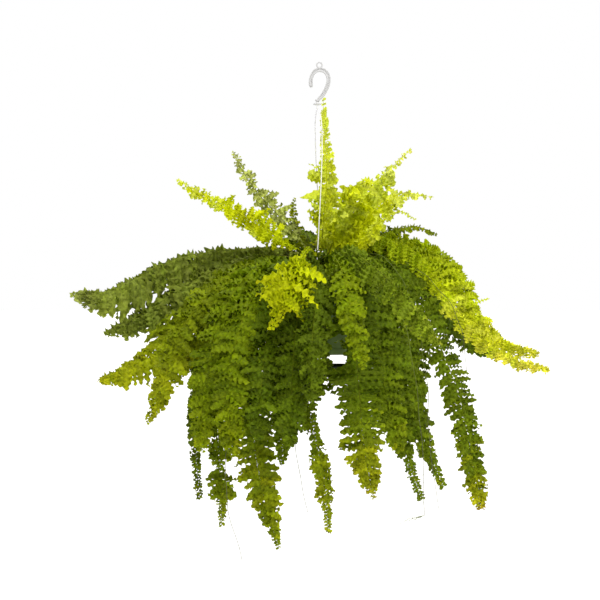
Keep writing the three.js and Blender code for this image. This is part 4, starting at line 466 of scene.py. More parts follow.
def frond(name, width, points, seed):
    s = dict(BASIC)
    s.update(STYLE.get(name, {}))
    rng = np.random.default_rng(seed)
    pts = np.asarray(points, float)
    line, along, length = catmull(pts, 260)
    run = pts[6] - pts[0]
    run[2] = 0
    run = FRONT if np.linalg.norm(run) < 40 else unit(run)
    ts = np.linspace(0, 1, len(line))
    side = np.cross(run, UP)[None] * np.ones((len(line), 1))
    side = unit(side - (side * along).sum(1, keepdims=True) * along)
    face = np.cross(side, along)
    # the blade turns about its midrib, by a share of the way to face the front
    angle = np.arctan2((side * FRONT).sum(1), (face * FRONT).sum(1))
    angle = np.unwrap(angle)
    a = (angle * s["turn"] * smooth((ts - 0.05) / 0.35) + math.radians(s["roll"]) * smooth(ts / 0.5))[:, None]
    side, face = side * np.cos(a) - face * np.sin(a), face * np.cos(a) + side * np.sin(a)
    stalk = min(0.2, s["stalk"] / length)
    rows = []
    for sgn in (1, -1):
        x = stalk * length * (0.9 if sgn > 0 else 0.94)
        while x < length * 0.995:
            t = x / length
            q = float(smooth((t - 0.55) / 0.42))
            pitch = s["pitch"] * (1 - q) + s["pitch_tip"] * q
            rows.append((t + rng.normal(0, 0.06) * pitch / length, sgn))
            x += pitch * rng.uniform(0.9, 1.1)
    rows = [r for r in rows if not any(g in (0, r[1]) and lo <= r[0] <= hi and rng.uniform() < p for g, lo, hi, p in s["gaps"])]
    rows += [(x[0], x[1]) for x in s["single"]]
    t = np.clip(np.array([r[0] for r in rows]), 0, 0.999)
    sgn = np.array([r[1] for r in rows], float)
    K = len(t)
    at = lambda arr: np.stack([np.interp(t, ts, arr[:, k]) for k in range(3)], 1)
    P, T, A, N = at(line), unit(at(along)), unit(at(side)), unit(at(face))
    sc = s["scatter"]
    place = (t - stalk * 0.8) / (1 - stalk * 0.8)
    share = shape_at(s["shape"], place)
    if s["shape_left"]:
        share = np.where(sgn > 0, shape_at(s["shape_left"], place), share)
    half = 0.5 * width * s["spread"] * share
    L = np.maximum(half * 1.2 * (1 + sc * np.clip(rng.normal(0, 0.12, K), -0.3, 0.22)), 3.4)
    q = smooth((t - 0.6) / 0.4)
    splay = np.radians(s["splay"] * (1 - q) + s["splay_tip"] * q + sc * rng.normal(0, 8, K))
    flat = np.sqrt(np.clip(1 - T[:, 2] ** 2, 0, 1))
    d = np.cos(splay)[:, None] * T + np.sin(splay)[:, None] * sgn[:, None] * A + sc * rng.normal(0, 0.17, K)[:, None] * N
    d = unit(d + (s["sag"] * (0.12 + 0.88 * flat))[:, None] * DOWN)
    n = unit(N - (N * d).sum(1, keepdims=True) * d)
    wide = np.minimum(s["wide"], 0.46 * L + 2.4) * (1 + 0.1 * rng.normal(0, 1, K))
    r0 = (1.25 * (1 - t) + 0.45) * 0.8
    base = (P + A * (sgn * r0)[:, None] + N * 0.2) * MM
    rnd = rng.uniform(0, 1, K)
    yellow = np.clip(shape_at(s["yellow"], t) + rng.normal(0, 0.07, K), 0, 1)
    for k, (_, sg, long, across, angle) in enumerate(s["single"], K - len(s["single"])):
        L[k], wide[k], turn = long, across, math.radians(angle)
        d[k] = unit(math.cos(turn) * T[k] + math.sin(turn) * sg * A[k])
        n[k] = unit(N[k] - (N[k] @ d[k]) * d[k])
    m = K - len(s["single"])
    build = Build()
    leaflets(
        build, base, d, n, L * MM, wide * MM, sgn,
        curl=s["curl"] * (1 + 0.4 * rng.normal(0, 1, K)),
        droop=s["droop"] * (0.15 + 0.85 * flat) * rng.uniform(0.7, 1.3, K) * (np.arange(K) < m),
        sick=rng.normal(0.12, 0.1, K),
        twist0=np.radians(s["twist"] * 0.7 + sc * rng.normal(0, 20, K)) * (np.arange(K) < m),
        twist1=np.radians(sc * rng.normal(0, 38, K)) * (np.arange(K) < m),
        ruffle=s["ruffle"] * rng.uniform(0.7, 1.35, K) * np.where(np.arange(K) < m, 1, 0.4),
        phase=rng.uniform(0, 2 * math.pi, (K, 2)),
        freq=s["frill"] * rng.uniform(2.3, 3.5, K) * np.clip(L / 28, 0.4, 1.25),
        cup=rng.normal(0.1, 0.22, K),
        yellow=yellow, rnd=rnd, mats=0, point=np.where(np.arange(K) < m, 0.0, 1.0),
    )
    idx = np.linspace(0, len(line) - 1, 84).astype(int)
    rt = idx / (len(line) - 1)
    tube(build, line[idx] * MM, (1.15 * (1 - rt) ** 1.1 + 0.36) * MM, 6, mat=1, side_hint=side[0])
    return build


# ---- materials ------------------------------------------------------------------------
def lin(rgb):
    c = np.array(rgb, float) / 255
    c = np.where(c <= 0.04045, c / 12.92, ((c + 0.055) / 1.055) ** 2.4)
    return (*[float(x) for x in c], 1.0)


class Graph:
    def __init__(self, name):
        self.m = bpy.data.materials.new(name)
        self.m.use_nodes = True
        self.t = self.m.node_tree
        self.t.nodes.clear()
        self.out = self.add("ShaderNodeOutputMaterial")

    def add(self, kind, **props):
        n = self.t.nodes.new(kind)
        for k, v in props.items():
            setattr(n, k, v)
        return n

    def link(self, a, b):
        self.t.links.new(a, b)

    def value(self, socket, v):
        if isinstance(v, bpy.types.NodeSocket):
            self.link(v, socket)
        else:
            socket.default_value = v

    def math(self, op, a, b=0.0, clamp=False):
        n = self.add("ShaderNodeMath", operation=op, use_clamp=clamp)
        self.value(n.inputs[0], a)
        self.value(n.inputs[1], b)
        return n.outputs[0]

    def range(self, x, a, b, c, d, kind="LINEAR"):
        n = self.add("ShaderNodeMapRange", interpolation_type=kind)
        self.value(n.inputs[0], x)
        for i, v in enumerate((a, b, c, d)):
            self.value(n.inputs[i + 1], v)
        return n.outputs[0]

    def mix(self, fac, a, b, blend="MIX"):
        n = self.add("ShaderNodeMix", data_type="RGBA", blend_type=blend)
        self.value(n.inputs[0], fac)
        self.value(n.inputs[6], a)
        self.value(n.inputs[7], b)
        return n.outputs[2]

    def uv(self, name):
        n = self.add("ShaderNodeUVMap", uv_map=name)
        s = self.add("ShaderNodeSeparateXYZ")
        self.link(n.outputs[0], s.inputs[0])
        return s.outputs[0], s.outputs[1]

    def coords(self):
        return self.add("ShaderNodeTexCoord").outputs["Object"]

    def noise(self, vector, scale, detail=2.0, rough=0.5):
        n = self.add("ShaderNodeTexNoise")
        self.value(n.inputs["Vector"], vector)
        n.inputs["Scale"].default_value = scale
        n.inputs["Detail"].default_value = detail
        n.inputs["Roughness"].default_value = rough
        return n.outputs["Fac"]

    def ramp(self, x, stops):
        n = self.add("ShaderNodeValToRGB")
        self.link(x, n.inputs[0])
        e = n.color_ramp.elements
        while len(e) < len(stops):
            e.new(0.5)
        for i, (at, c) in enumerate(stops):
            e[i].position = at
            e[i].color = c
        return n.outputs[0]

    def bump(self, height, strength, distance):
        n = self.add("ShaderNodeBump")
        n.inputs["Strength"].default_value = strength
        n.inputs["Distance"].default_value = distance
        self.link(height, n.inputs["Height"])
        return n.outputs["Normal"]

    def principled(self, **values):
        n = self.add("ShaderNodeBsdfPrincipled")
        for k, v in values.items():
            self.value(n.inputs[k.replace("_", " ")], v)
        return n


def leaf_material(name, fresh, mid, gold, tan, through=0.42, pale=0.3, edge=0.22, vary=1.0):
    """Fresh leaf colour through to tan by how far it has turned; veins, mottling, a paler underside, light through it.
    The edge amount paints a highlight along the leaflet margins, and a mid-scale noise adds random tone together with
    painted light and shade on the crinkles.
    """
    g = Graph(name)
    lx, ly = g.uv("Leaf")
    yellow, rnd = g.uv("Frond")
    under = g.math("GREATER_THAN", rnd, 1.0)
    own = g.math("FRACT", rnd)
    place = g.coords()
    cloud = g.noise(place, 16, 3.0, 0.55)
    fine = g.noise(place, 420, 2.0, 0.6)
    turned = g.math("ADD", yellow, g.range(cloud, 0.3, 0.7, -0.12, 0.14))
    turned = g.math("ADD", turned, g.range(lx, 0.55, 1.0, 0.0, 0.1), clamp=True)
    colour = g.ramp(turned, [(0.0, fresh), (0.42, mid), (0.78, gold), (1.0, tan)])
    a = g.math("ABSOLUTE", g.math("SUBTRACT", ly, 0.5))
    rib = g.range(a, 0.0, 0.05, 1.0, 0.0, "SMOOTHSTEP")
    slant = g.math("ADD", g.math("MULTIPLY", lx, 92.0), g.math("MULTIPLY", a, -58.0))
    vein = g.range(g.math("SINE", slant), 0.55, 1.0, 0.0, 1.0, "SMOOTHSTEP")
    # painted highlight: the outer margins of each leaflet are lightened as if light caught the crisped edges
    rim_highlight = g.range(a, 0.4, 0.5, 0.0, 1.0, "SMOOTHSTEP")
    # about 6 mm noise: partly random tone, partly painted light and shade standing in for the crinkles of the leaflets
    crimp_tone_and_shade = g.noise(place, 170, 2.0, 0.55)
    hsv = g.add("ShaderNodeHueSaturation")
    g.value(hsv.inputs["Color"], colour)
    g.value(hsv.inputs["Value"], g.math("MULTIPLY", g.range(own, 0.0, 1.0, 1 - 0.26 * vary, 1 + 0.26 * vary), g.range(crimp_tone_and_shade, 0.32, 0.68, 1 - 0.26 * vary, 1 + 0.3 * vary)))
    g.value(hsv.inputs["Hue"], g.range(cloud, 0.25, 0.75, 0.492, 0.508))
    colour = hsv.outputs[0]
    light = (min(1, mid[0] * 1.4 + 0.03), min(1, mid[1] * 1.35 + 0.03), mid[2] * 1.2 + 0.006, 1)
    dark = (fresh[0] * 0.5, fresh[1] * 0.55, fresh[2] * 0.6, 1)
    colour = g.mix(g.math("MULTIPLY", rib, 0.4), colour, light)
    colour = g.mix(g.math("MULTIPLY", vein, 0.16), colour, dark)
    # paint the highlight onto the margins, as strong as the edge amount
    colour = g.mix(g.math("MULTIPLY", rim_highlight, edge), colour, light)
    colour = g.mix(g.range(fine, 0.35, 0.75, 0.0, 0.16), colour, dark)
    soft = (mid[0] * 0.9 + 0.03, mid[1] * 0.9 + 0.04, mid[2] * 1.1 + 0.01, 1)
    colour = g.mix(g.math("MULTIPLY", under, pale), colour, soft)
    height = g.math("ADD", g.math("MULTIPLY", vein, -0.6), g.math("MULTIPLY", rib, -1.0))
    height = g.math("ADD", height, g.math("MULTIPLY", fine, 0.7))
    normal = g.bump(height, 0.35, 0.0004)
    rough = g.range(fine, 0.3, 0.7, 0.46, 0.62)
    p = g.principled(Base_Color=colour, Roughness=rough, Normal=normal)
    p.inputs["Specular IOR Level"].default_value = 0.12
    glow = g.add("ShaderNodeHueSaturation")
    g.value(glow.inputs["Color"], colour)
    glow.inputs["Hue"].default_value = 0.493
    glow.inputs["Saturation"].default_value = 1.08
    glow.inputs["Value"].default_value = 1.45
    tr = g.add("ShaderNodeBsdfTranslucent")
    g.link(glow.outputs[0], tr.inputs["Color"])
    g.link(normal, tr.inputs["Normal"])
    mix = g.add("ShaderNodeMixShader")
    mix.inputs[0].default_value = through
    g.link(p.outputs[0], mix.inputs[1])
    g.link(tr.outputs[0], mix.inputs[2])
    g.link(mix.outputs[0], g.out.inputs["Surface"])
    return g.m


def rachis_material(name, low, high):
    """Midrib: brown and scaly at the base, greener towards the tip."""
    g = Graph(name)
    along, around = g.uv("Leaf")
    place = g.coords()
    grain = g.noise(place, 900, 3.0, 0.6)
    cloud = g.noise(place, 60, 2.0, 0.5)
    colour = g.ramp(along, [(0.0, lin((92, 70, 36))), (0.16, low), (0.6, high), (1.0, high)])
    colour = g.mix(g.range(cloud, 0.35, 0.7, 0.0, 0.3), colour, lin((92, 80, 26)))
    colour = g.mix(g.range(grain, 0.5, 0.75, 0.0, 0.24), colour, lin((58, 44, 20)))
    normal = g.bump(grain, 0.5, 0.0004)
    p = g.principled(Base_Color=colour, Roughness=g.range(grain, 0.3, 0.7, 0.6, 0.85), Normal=normal)
    p.inputs["Specular IOR Level"].default_value = 0.06
    g.link(p.outputs[0], g.out.inputs["Surface"])
    return g.m


TONES = {
    # fresh, turning, gold, tan
    "lime": ((156, 175, 3), (211, 218, 8), (222, 229, 112), (208, 206, 124)),
    "gold_lime": ((138, 159, 14), (202, 212, 24), (230, 228, 88), (226, 216, 96)),
    "bright": ((112, 136, 4), (144, 160, 8), (178, 182, 14), (160, 144, 36)),
    "dusty": ((118, 134, 43), (146, 158, 56), (188, 197, 106), (190, 196, 116)),
    "olive": ((114, 132, 4), (144, 157, 8), (186, 188, 18), (160, 142, 40)),
    "green": ((94, 117, 6), (128, 146, 12), (178, 182, 18), (168, 150, 38)),
    "deep": ((90, 113, 6), (120, 138, 12), (192, 194, 20), (172, 152, 36)),
    "gold": ((126, 146, 4), (180, 194, 4), (206, 212, 8), (206, 204, 20)),
    "silver": ((102, 125, 14), (138, 158, 30), (174, 180, 48), (160, 148, 56)),
}
# strength of the painted edge highlight for each tone; the silvery look of the silver tone is this painted highlight,
# and its own colours are green
RIM_HIGHLIGHTS = {"silver": 0.7, "gold_lime": 0.5, "lime": 0.3, "gold": 0.3}
leaf_materials = {}
rachis_materials = {}
for tone, (a, b, c, d) in TONES.items():
    leaf_materials[tone] = leaf_material("leaf_" + tone, lin(a), lin(b), lin(c), lin(d), edge=RIM_HIGHLIGHTS.get(tone, 0.22), vary={"lime": 0.45, "gold": 0.65, "gold_lime": 0.85}.get(tone, 1.0))
    rachis_materials[tone] = rachis_material(
        "midrib_" + tone, lin(tuple((0.62 if tone == "green" else 0.78) * x + 8 for x in a)), lin(tuple({"lime": 0.96, "gold_lime": 0.96, "gold": 0.92, "green": 0.7}.get(tone, 0.84) * x + 4 for x in b)),
    )


def clear_plastic(name, tint, through=0.35):
    g = Graph(name)
    place = g.coords()
    flow = g.noise(place, 55, 3.0, 0.5)
    scuff = g.noise(place, 700, 4.0, 0.65)
    colour = g.mix(g.range(flow, 0.3, 0.7, 0.0, 1.0), lin(tint), lin(tuple(min(255, x + 12) for x in tint)))
    normal = g.bump(scuff, 0.006, 0.0001)
    p = g.principled(Base_Color=colour, Roughness=g.range(scuff, 0.3, 0.7, 0.42, 0.5), Normal=normal)
    p.inputs["IOR"].default_value = 1.49
    p.inputs["Specular IOR Level"].default_value = 0.18
    tr = g.add("ShaderNodeBsdfTranslucent")
    g.link(colour, tr.inputs["Color"])
    g.link(normal, tr.inputs["Normal"])
    mix = g.add("ShaderNodeMixShader")
    mix.inputs[0].default_value = through
    g.link(p.outputs[0], mix.inputs[1])
    g.link(tr.outputs[0], mix.inputs[2])
    g.link(mix.outputs[0], g.out.inputs["Surface"])
    return g.m


def moulded(name, dark, light, rough=(0.42, 0.58), dust=0.25):
    g = Graph(name)
    place = g.coords()
    grain = g.noise(place, 1500, 3.0, 0.7)
    cloud = g.noise(place, 22, 4.0, 0.6)
    wear = g.noise(place, 140, 5.0, 0.7)
    colour = g.mix(g.range(cloud, 0.3, 0.7, 0.0, 1.0), lin(dark), lin(light))
    colour = g.mix(g.range(wear, 0.55, 0.8, 0.0, dust), colour, lin((120, 122, 104)))
    normal = g.bump(grain, 0.25, 0.0003)
    p = g.principled(Base_Color=colour, Roughness=g.range(wear, 0.3, 0.7, *rough), Normal=normal)
    p.inputs["Specular IOR Level"].default_value = 0.22
    g.link(p.outputs[0], g.out.inputs["Surface"])
    return g.m


def earthy(name, stops, scale, bump=0.6, rough=0.95):
    g = Graph(name)
    place = g.coords()
    big = g.noise(place, scale, 5.0, 0.65)
    small = g.noise(place, scale * 7, 3.0, 0.7)
    colour = g.ramp(g.math("ADD", g.math("MULTIPLY", big, 0.7), g.math("MULTIPLY", small, 0.3)), stops)
    normal = g.bump(small, bump, 0.001)
    p = g.principled(Base_Color=colour, Roughness=g.range(small, 0.3, 0.7, rough - 0.12, rough), Normal=normal)
    g.link(p.outputs[0], g.out.inputs["Surface"])
    return g.m


hanger_mat = clear_plastic("hanger_plastic", (208, 208, 209), 0.3)
strand_mat = clear_plastic("hanger_strand", (240, 240, 240), 0.5)
back_strand_mat = clear_plastic("hanger_strand_back", (238, 237, 241), 0.6)
pot_mat = moulded("pot_plastic", (104, 124, 70), (116, 138, 78))
saucer_mat = moulded("saucer_plastic", (26, 32, 20), (34, 40, 26), dust=0.12)
soil_mat = earthy("soil", [(0.3, lin((28, 20, 14))), (0.5, lin((54, 38, 26))), (0.7, lin((84, 64, 44)))], 90)
chip_mat = earthy("soil_chips", [(0.3, lin((60, 42, 26))), (0.5, lin((96, 70, 44))), (0.7, lin((140, 110, 76)))], 160)
perlite_mat = earthy("soil_perlite", [(0.3, lin((196, 192, 180))), (0.6, lin((226, 224, 214)))], 260, bump=0.4)
root_mat = earthy("rootstock", [(0.3, lin((46, 34, 18))), (0.5, lin((84, 62, 32))), (0.7, lin((124, 96, 50)))], 130)
scale_mat = earthy("rootstock_scales", [(0.3, lin((86, 60, 30))), (0.5, lin((128, 94, 50))), (0.7, lin((170, 134, 82)))], 300, bump=0.3)
crozier_mat = earthy("crozier", [(0.3, lin((112, 128, 30))), (0.5, lin((150, 164, 44))), (0.7, lin((150, 120, 60)))], 260, bump=0.4, rough=0.7)
def thread_material(name):
    g = Graph(name)
    along, around = g.uv("Leaf")
    place = g.coords()
    grain = g.noise(place, 500, 3.0, 0.6)
    colour = g.ramp(along, [(0.0, lin((96, 112, 14))), (0.56, lin((96, 110, 18))), (0.7, lin((78, 84, 34))), (0.86, lin((84, 82, 62))), (1.0, lin((96, 94, 80)))])
    colour = g.mix(g.range(grain, 0.4, 0.7, 0.0, 0.3), colour, lin((60, 46, 28)))
    p = g.principled(Base_Color=colour, Roughness=g.range(grain, 0.3, 0.7, 0.6, 0.85), Normal=g.bump(grain, 0.4, 0.0003))
    g.link(p.outputs[0], g.out.inputs["Surface"])
    return g.m


runner_mat = thread_material("runner")


def finish_piece(ob, slot, *nodes):
    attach(ob, "root")
    if nodes:
        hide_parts(*nodes)
    return ob


# ---- fronds ---------------------------------------------------------------------------
for number, (name, tone, width, points) in enumerate(FRONDS):
    ob = frond(name, width, points, 1000 + number * 17).object(name + "_leaf", [leaf_materials[tone], rachis_materials[tone]])
    finish_piece(ob, "leaf_" + tone, name)

# ---- runners ----------------------------------------------------------------------------
def wander(line, rng, amount, waves=(3, 7)):
    n = len(line)
    s = np.linspace(0, 1, n)
    out = np.array(line, float)
    for axis in range(3):
        for _ in range(3):
            f = rng.uniform(*waves)
            out[:, axis] += amount / 3 * np.sin(2 * math.pi * (f * s + rng.uniform())) * smooth(s / 0.2)
    return out


for number, (name, points) in enumerate(RUNNERS):
    rng = np.random.default_rng(500 + number)
    line, along, length = catmull(points, 120)
    line = wander(line, rng, 2.2)
    build = Build()
    tube(build, line * MM, (0.85 - 0.4 * np.linspace(0, 1, 120)) * MM, 6)
    for k in range(14):  # short side roots
        i = int(rng.uniform(25, 116))
        direction = unit(rng.normal(0, 1, 3) + DOWN * 0.8)
        reach = rng.uniform(6, 18)
        side = line[i] + direction * np.linspace(0, reach, 9)[:, None] + DOWN * (np.linspace(0, 1, 9)[:, None] ** 2) * reach * 0.5
        tube(build, side * MM, np.linspace(0.28, 0.1, 9) * MM, 4)
    if name == "runner_03":  # a fan of fine threads spreads from its end
        start = line[-1]
        for k in range(7):
            far = start + np.array([-76 + k * 7.5 + rng.uniform(-3, 3), rng.uniform(-8, 8), -34 + k * 1.5 + rng.uniform(-4, 4)])
            mid = 0.5 * (start + far) + np.array([0, 0, 6 + 3 * rng.uniform()])
            side, _, _ = catmull([start, 0.6 * start + 0.4 * mid, mid, far], 30)
            tube(build, wander(side, rng, 1.6) * MM, np.linspace(0.3, 0.12, 30) * MM, 4)
    finish_piece(build.object(name + "_thread", [runner_mat]), "runner", name)

# ---- hanger -----------------------------------------------------------------------------
HOOK = [
    (-17.0, -31.2, 3.8), (-18.0, -27.0, 3.9), (-18.6, -21.0, 4.0), (-17.6, -12.0, 3.5), (-14.4, -4.0, 3.6),
    (-8.4, 2.4, 4.3), (0, 4.6, 4.6), (8.6, 2.2, 4.5), (14.8, -5.0, 4.2), (17.2, -14.5, 4.1),
    (15.6, -25.5, 4.1), (11.2, -36.0, 4.2), (5.4, -46.0, 3.9), (-1.0, -53.0, 3.4), (-5.0, -58.0, 3.1),
]
HUB_X, HUB_TOP, PLATE_TOP, PLATE_LOW, HUB_R = -5.6, -56.0, -63.2, -65.8, 7.6


def hook_piece():
    build = Build()
    line, along, _ = catmull([(x, 0, z) for x, z, _ in HOOK], 110)
    s = np.linspace(0, 1, 110)
    knots = np.concatenate([[0], np.cumsum([math.dist(a[:2], b[:2]) for a, b in zip(HOOK, HOOK[1:])])])
    half = np.interp(s, knots / knots[-1], [w for *_, w in HOOK])
    # moulded section: rounded flanges along both edges, a thinner web between
    section = [(1, 0), (0.98, 0.6), (0.84, 1), (0.62, 1), (0.5, 0.84), (0.36, 0.55), (0, 0.5), (-0.36, 0.55), (-0.5, 0.84), (-0.62, 1), (-0.84, 1), (-0.98, 0.6), (-1, 0),
               (-0.98, -0.6), (-0.84, -1), (-0.62, -1), (-0.5, -0.84), (-0.36, -0.55), (0, -0.5), (0.36, -0.55), (0.5, -0.84), (0.62, -1), (0.84, -1), (0.98, -0.6)]
    y = np.array([0, 1.0, 0])
    normal = np.cross(along, y)
    deep = 3.2 * (0.3 + 0.7 * np.sqrt(np.clip(1 - (1 - np.clip(s / 0.045, 0, 1)) ** 2, 0, 1))) * (1 - 0.25 * smooth((s - 0.9) / 0.1))
    ends = np.sqrt(np.clip(1 - (1 - np.clip(s / 0.045, 0, 1)) ** 2, 0.03, 1))
    verts = []
    for i in range(110):
        for a, b in section:
            web = b
            if i < 9 or i > 98:  # the web thickens at both ends
                k = min(1.0, (9 - i) / 6 if i < 9 else (i - 98) / 6)
                web = b * (1 - k) + np.sign(b) * k * math.sqrt(max(0, 1 - abs(a) ** 3))
            verts.append(line[i] - normal[i] * a * half[i] * ends[i] + y * web * deep[i])
    n = len(section)
    verts = np.array(verts)
    i = np.arange(109)[:, None] * n
    k = np.arange(n)[None]
    k2 = (k + 1) % n
    quads = np.stack([i + k, i + k2, i + n + k2, i + n + k], -1).reshape(-1, 4)
    caps = np.vstack([verts, [line[0] - along[0] * 0.2, line[-1] + along[-1] * 0.4]])
    k, k2 = np.arange(n), (np.arange(n) + 1) % n
    tris = np.vstack([np.stack([np.full(n, len(verts)), k2, k], -1), np.stack([np.full(n, len(verts) + 1), 109 * n + k, 109 * n + k2], -1)])
    build.add(caps * MM, quads, tris)
    # ring eye on the crown
    a = np.linspace(0, 2 * math.pi, 49)[:-1]
    b = np.linspace(0, 2 * math.pi, 17)[:-1]
    A, B = np.meshgrid(a, b, indexing="ij")
    r = 5.2 + 1.5 * np.cos(B) * (1 + 0.12 * np.cos(A * 2))
    ring = np.stack([-1.2 + r * np.cos(A), 1.7 * np.sin(B), 4.6 + 4.2 + 5.2 + r * np.sin(A)], -1).reshape(-1, 3)
    i, k = np.arange(48)[:, None], np.arange(16)[None]
    i2, k2 = (i + 1) % 48, (k + 1) % 16
    quads = np.stack([i * 16 + k, i2 * 16 + k, i2 * 16 + k2, i * 16 + k2], -1).reshape(-1, 4)
    build.add(ring * MM, quads[:, ::-1])
    # hub: collar, neck and arm plate, the plate with a rolled edge
    profile = rounded([(0, PLATE_LOW), (HUB_R, PLATE_LOW), (HUB_R, PLATE_TOP), (2.6, PLATE_TOP), (2.4, HUB_TOP - 2.4), (4.6, HUB_TOP - 2.0), (4.6, HUB_TOP), (3.0, HUB_TOP + 1.4), (0, HUB_TOP + 1.8)], 0.8, 5)
    verts, quads, tris = revolve(profile, 48)
    verts[:, 0] += HUB_X
    build.add(verts * MM, quads, tris)
    return build.object("hook_moulding", [hanger_mat], with_uv=False)


finish_piece(hook_piece(), "hanger_plastic", "hanger_hook")

RIM_Z, RIM_R, WALL_TOP_R, BASE_R, BASE_Z = -386.0, 127.0, 122.0, 92.0, -564.0
ARMS = [("hanger_arm_front", -3.2), ("hanger_arm_back", 177.5)]
for name, azimuth in ARMS:
    a = math.radians(azimuth)
    dx, dy = math.sin(a), -math.cos(a)
    hx, hy = HUB_X + 5.0 * dx, 5.0 * dy
    end = (124 * dx, 124 * dy, RIM_Z + 2.0)
    lean = {"hanger_arm_front": 10, "hanger_arm_back": -6}[name]
    points = [(hx, hy, PLATE_TOP + 2.6), (hx, hy, PLATE_LOW - 2)]
    for t in (0.08, 0.25, 0.42, 0.6, 0.8, 0.95, 1):
        z0 = PLATE_LOW - 2
        points.append((hx + (end[0] - hx) * t + lean * math.sin(math.pi * math.sqrt(t)), hy + (end[1] - hy) * t, z0 + (end[2] - z0) * t))
    build = Build()
    line, along, length = catmull(points, 120)
    s = np.linspace(0, 1, 120)
    tube(build, line * MM, MM, 12, squash=(0.95, 0.8), side_hint=(-dy, dx, 0))
    head = [(0, 0), (1.6, 0), (2.0, 0.5), (2.1, 1.6), (1.6, 2.5), (0.6, 2.9), (0, 3.0)]
    verts, quads, tris = revolve(head, 24)
    verts += [hx, hy, PLATE_TOP + 0.4]
    build.add(verts * MM, quads, tris)
    # clip over the lip of the pot, extruded along the rim
    inner, r, top = WALL_TOP_R - 3.2, RIM_R + 0.4, RIM_Z + 0.4
    section = [(inner, top), (r, top), (r, RIM_Z - 7.4), (WALL_TOP_R + 1.6, RIM_Z - 7.4), (WALL_TOP_R + 1.6, RIM_Z - 9.2), (r + 2.4, RIM_Z - 9.2), (r + 2.4, top + 2.6), (inner - 2.2, top + 2.6), (inner - 2.2, RIM_Z - 9), (inner, RIM_Z - 9)]
    closed = [section[-1], *section, section[0]]
    outline = np.array(rounded(closed, 0.7, 3)[1:-1])
    m = len(outline)
    slices = [(-5.5, 0.25), (-5.1, 0.0), (5.1, 0.0), (5.5, 0.25)]
    centre = outline.mean(0)
    verts = []
    for off, shrink in slices:
        for q in outline:
            q = q + (centre - q) * shrink * 0.1
            verts.append((q[0] * dx - off * -dy, q[0] * dy + off * dx, q[1]))
    verts = np.array(verts)
    i = np.arange(3)[:, None] * m
    k = np.arange(m)[None]
    k2 = (k + 1) % m
    quads = np.stack([i + k, i + m + k, i + m + k2, i + k2], -1).reshape(-1, 4)
    # caps follow the bent strip: pair its outer and inner sides by ear cutting
    from mathutils.geometry import tessellate_polygon
    ears = np.array(tessellate_polygon([[Vector((float(x), float(y), 0)) for x, y in outline]]))
    x, y = outline[:, 0], outline[:, 1]
    turn = np.sum(x * np.roll(y, -1) - np.roll(x, -1) * y)
    def facing_of(tri):
        (x0, y0), (x1, y1), (x2, y2) = outline[tri]
        return (x1 - x0) * (y2 - y0) - (x2 - x0) * (y1 - y0)
    ears = np.array([t if facing_of(t) > 0 else t[::-1] for t in ears])
    if turn < 0:
        quads = quads[:, ::-1]
    tris = np.vstack([ears, ears[:, ::-1] + 3 * m])
    # outward side of the caps depends on the way the section is swept
    sweep = np.array([dy, dx, 0.0])
    normal = np.cross(verts[ears[0][1]] - verts[ears[0][0]], verts[ears[0][2]] - verts[ears[0][0]])
    back = verts[:m].mean(0) - verts[3 * m :].mean(0)
    if np.dot(normal, back) < 0:
        tris = tris[:, ::-1]
        quads = quads[:, ::-1]
    build.add(verts * MM, quads, tris)
    finish_piece(build.object(name + "_strand", [strand_mat if name == "hanger_arm_front" else back_strand_mat], with_uv=False), "hanger_plastic", name)

# ---- pot and saucer -----------------------------------------------------------------------
def drilled(name, solids, cutters, materials):
    """One object from closed parts, with round holes cut through it."""
    import bmesh

    build = Build()
    for verts, quads, tris in solids:
        build.add(verts * MM, quads, tris)
    ob = build.object(name, materials, with_uv=False)
    cut = Build()
    for (x, y, z), r, h in cutters:
        verts, quads, tris = revolve([(0, -h / 2), (r, -h / 2), (r, h / 2), (0, h / 2)], 32)
        cut.add((verts + [x, y, z]) * MM, quads, tris)
    tool = cut.object(name + "_cutter", materials, with_uv=False)
    mod = ob.modifiers.new("holes", "BOOLEAN")
    mod.operation, mod.solver, mod.object = "DIFFERENCE", "EXACT", tool
    deps = bpy.context.evaluated_depsgraph_get()
    made = bpy.data.meshes.new_from_object(ob.evaluated_get(deps))
    ob.modifiers.clear()
    old = ob.data
    ob.data = made
    bpy.data.meshes.remove(old)
    mesh = tool.data
    bpy.data.objects.remove(tool)
    bpy.data.meshes.remove(mesh)
    bm = bmesh.new()
    bm.from_mesh(ob.data)
    for e in bm.edges:
        e.smooth = e.calc_face_angle(0) < math.radians(32)
    for f in bm.faces:
        f.smooth = True
    bm.to_mesh(ob.data)
    bm.free()
    return ob


inner_base = BASE_R - 2.6
wall = [
    (0, BASE_Z + 1.2), (20, BASE_Z + 1.2), (24, BASE_Z), (BASE_R - 3, BASE_Z), (BASE_R, BASE_Z + 3), (BASE_R + 1.6, BASE_Z + 12),
    (BASE_R + 1.2, BASE_Z + 13.4), (WALL_TOP_R - 3.2, RIM_Z - 30), (WALL_TOP_R - 2.0, RIM_Z - 28.6), (WALL_TOP_R, RIM_Z - 14),
    (WALL_TOP_R, RIM_Z - 6.6), (RIM_R - 0.4, RIM_Z - 6.6), (RIM_R, RIM_Z - 5.6), (RIM_R, RIM_Z - 1.4), (RIM_R - 1.2, RIM_Z),
    (WALL_TOP_R - 1.2, RIM_Z), (WALL_TOP_R - 2, RIM_Z - 1.2), (WALL_TOP_R - 2, RIM_Z - 14), (inner_base, BASE_Z + 3.6),
    (inner_base - 2, BASE_Z + 2.6), (0, BASE_Z + 2.6),
]
lugs = [(70 * math.sin(math.radians(d)), -70 * math.cos(math.radians(d))) for d in (90, 210, 330)]
solids = [revolve(rounded(wall, 0.9, 3), 128)]
floor_z = -605.5
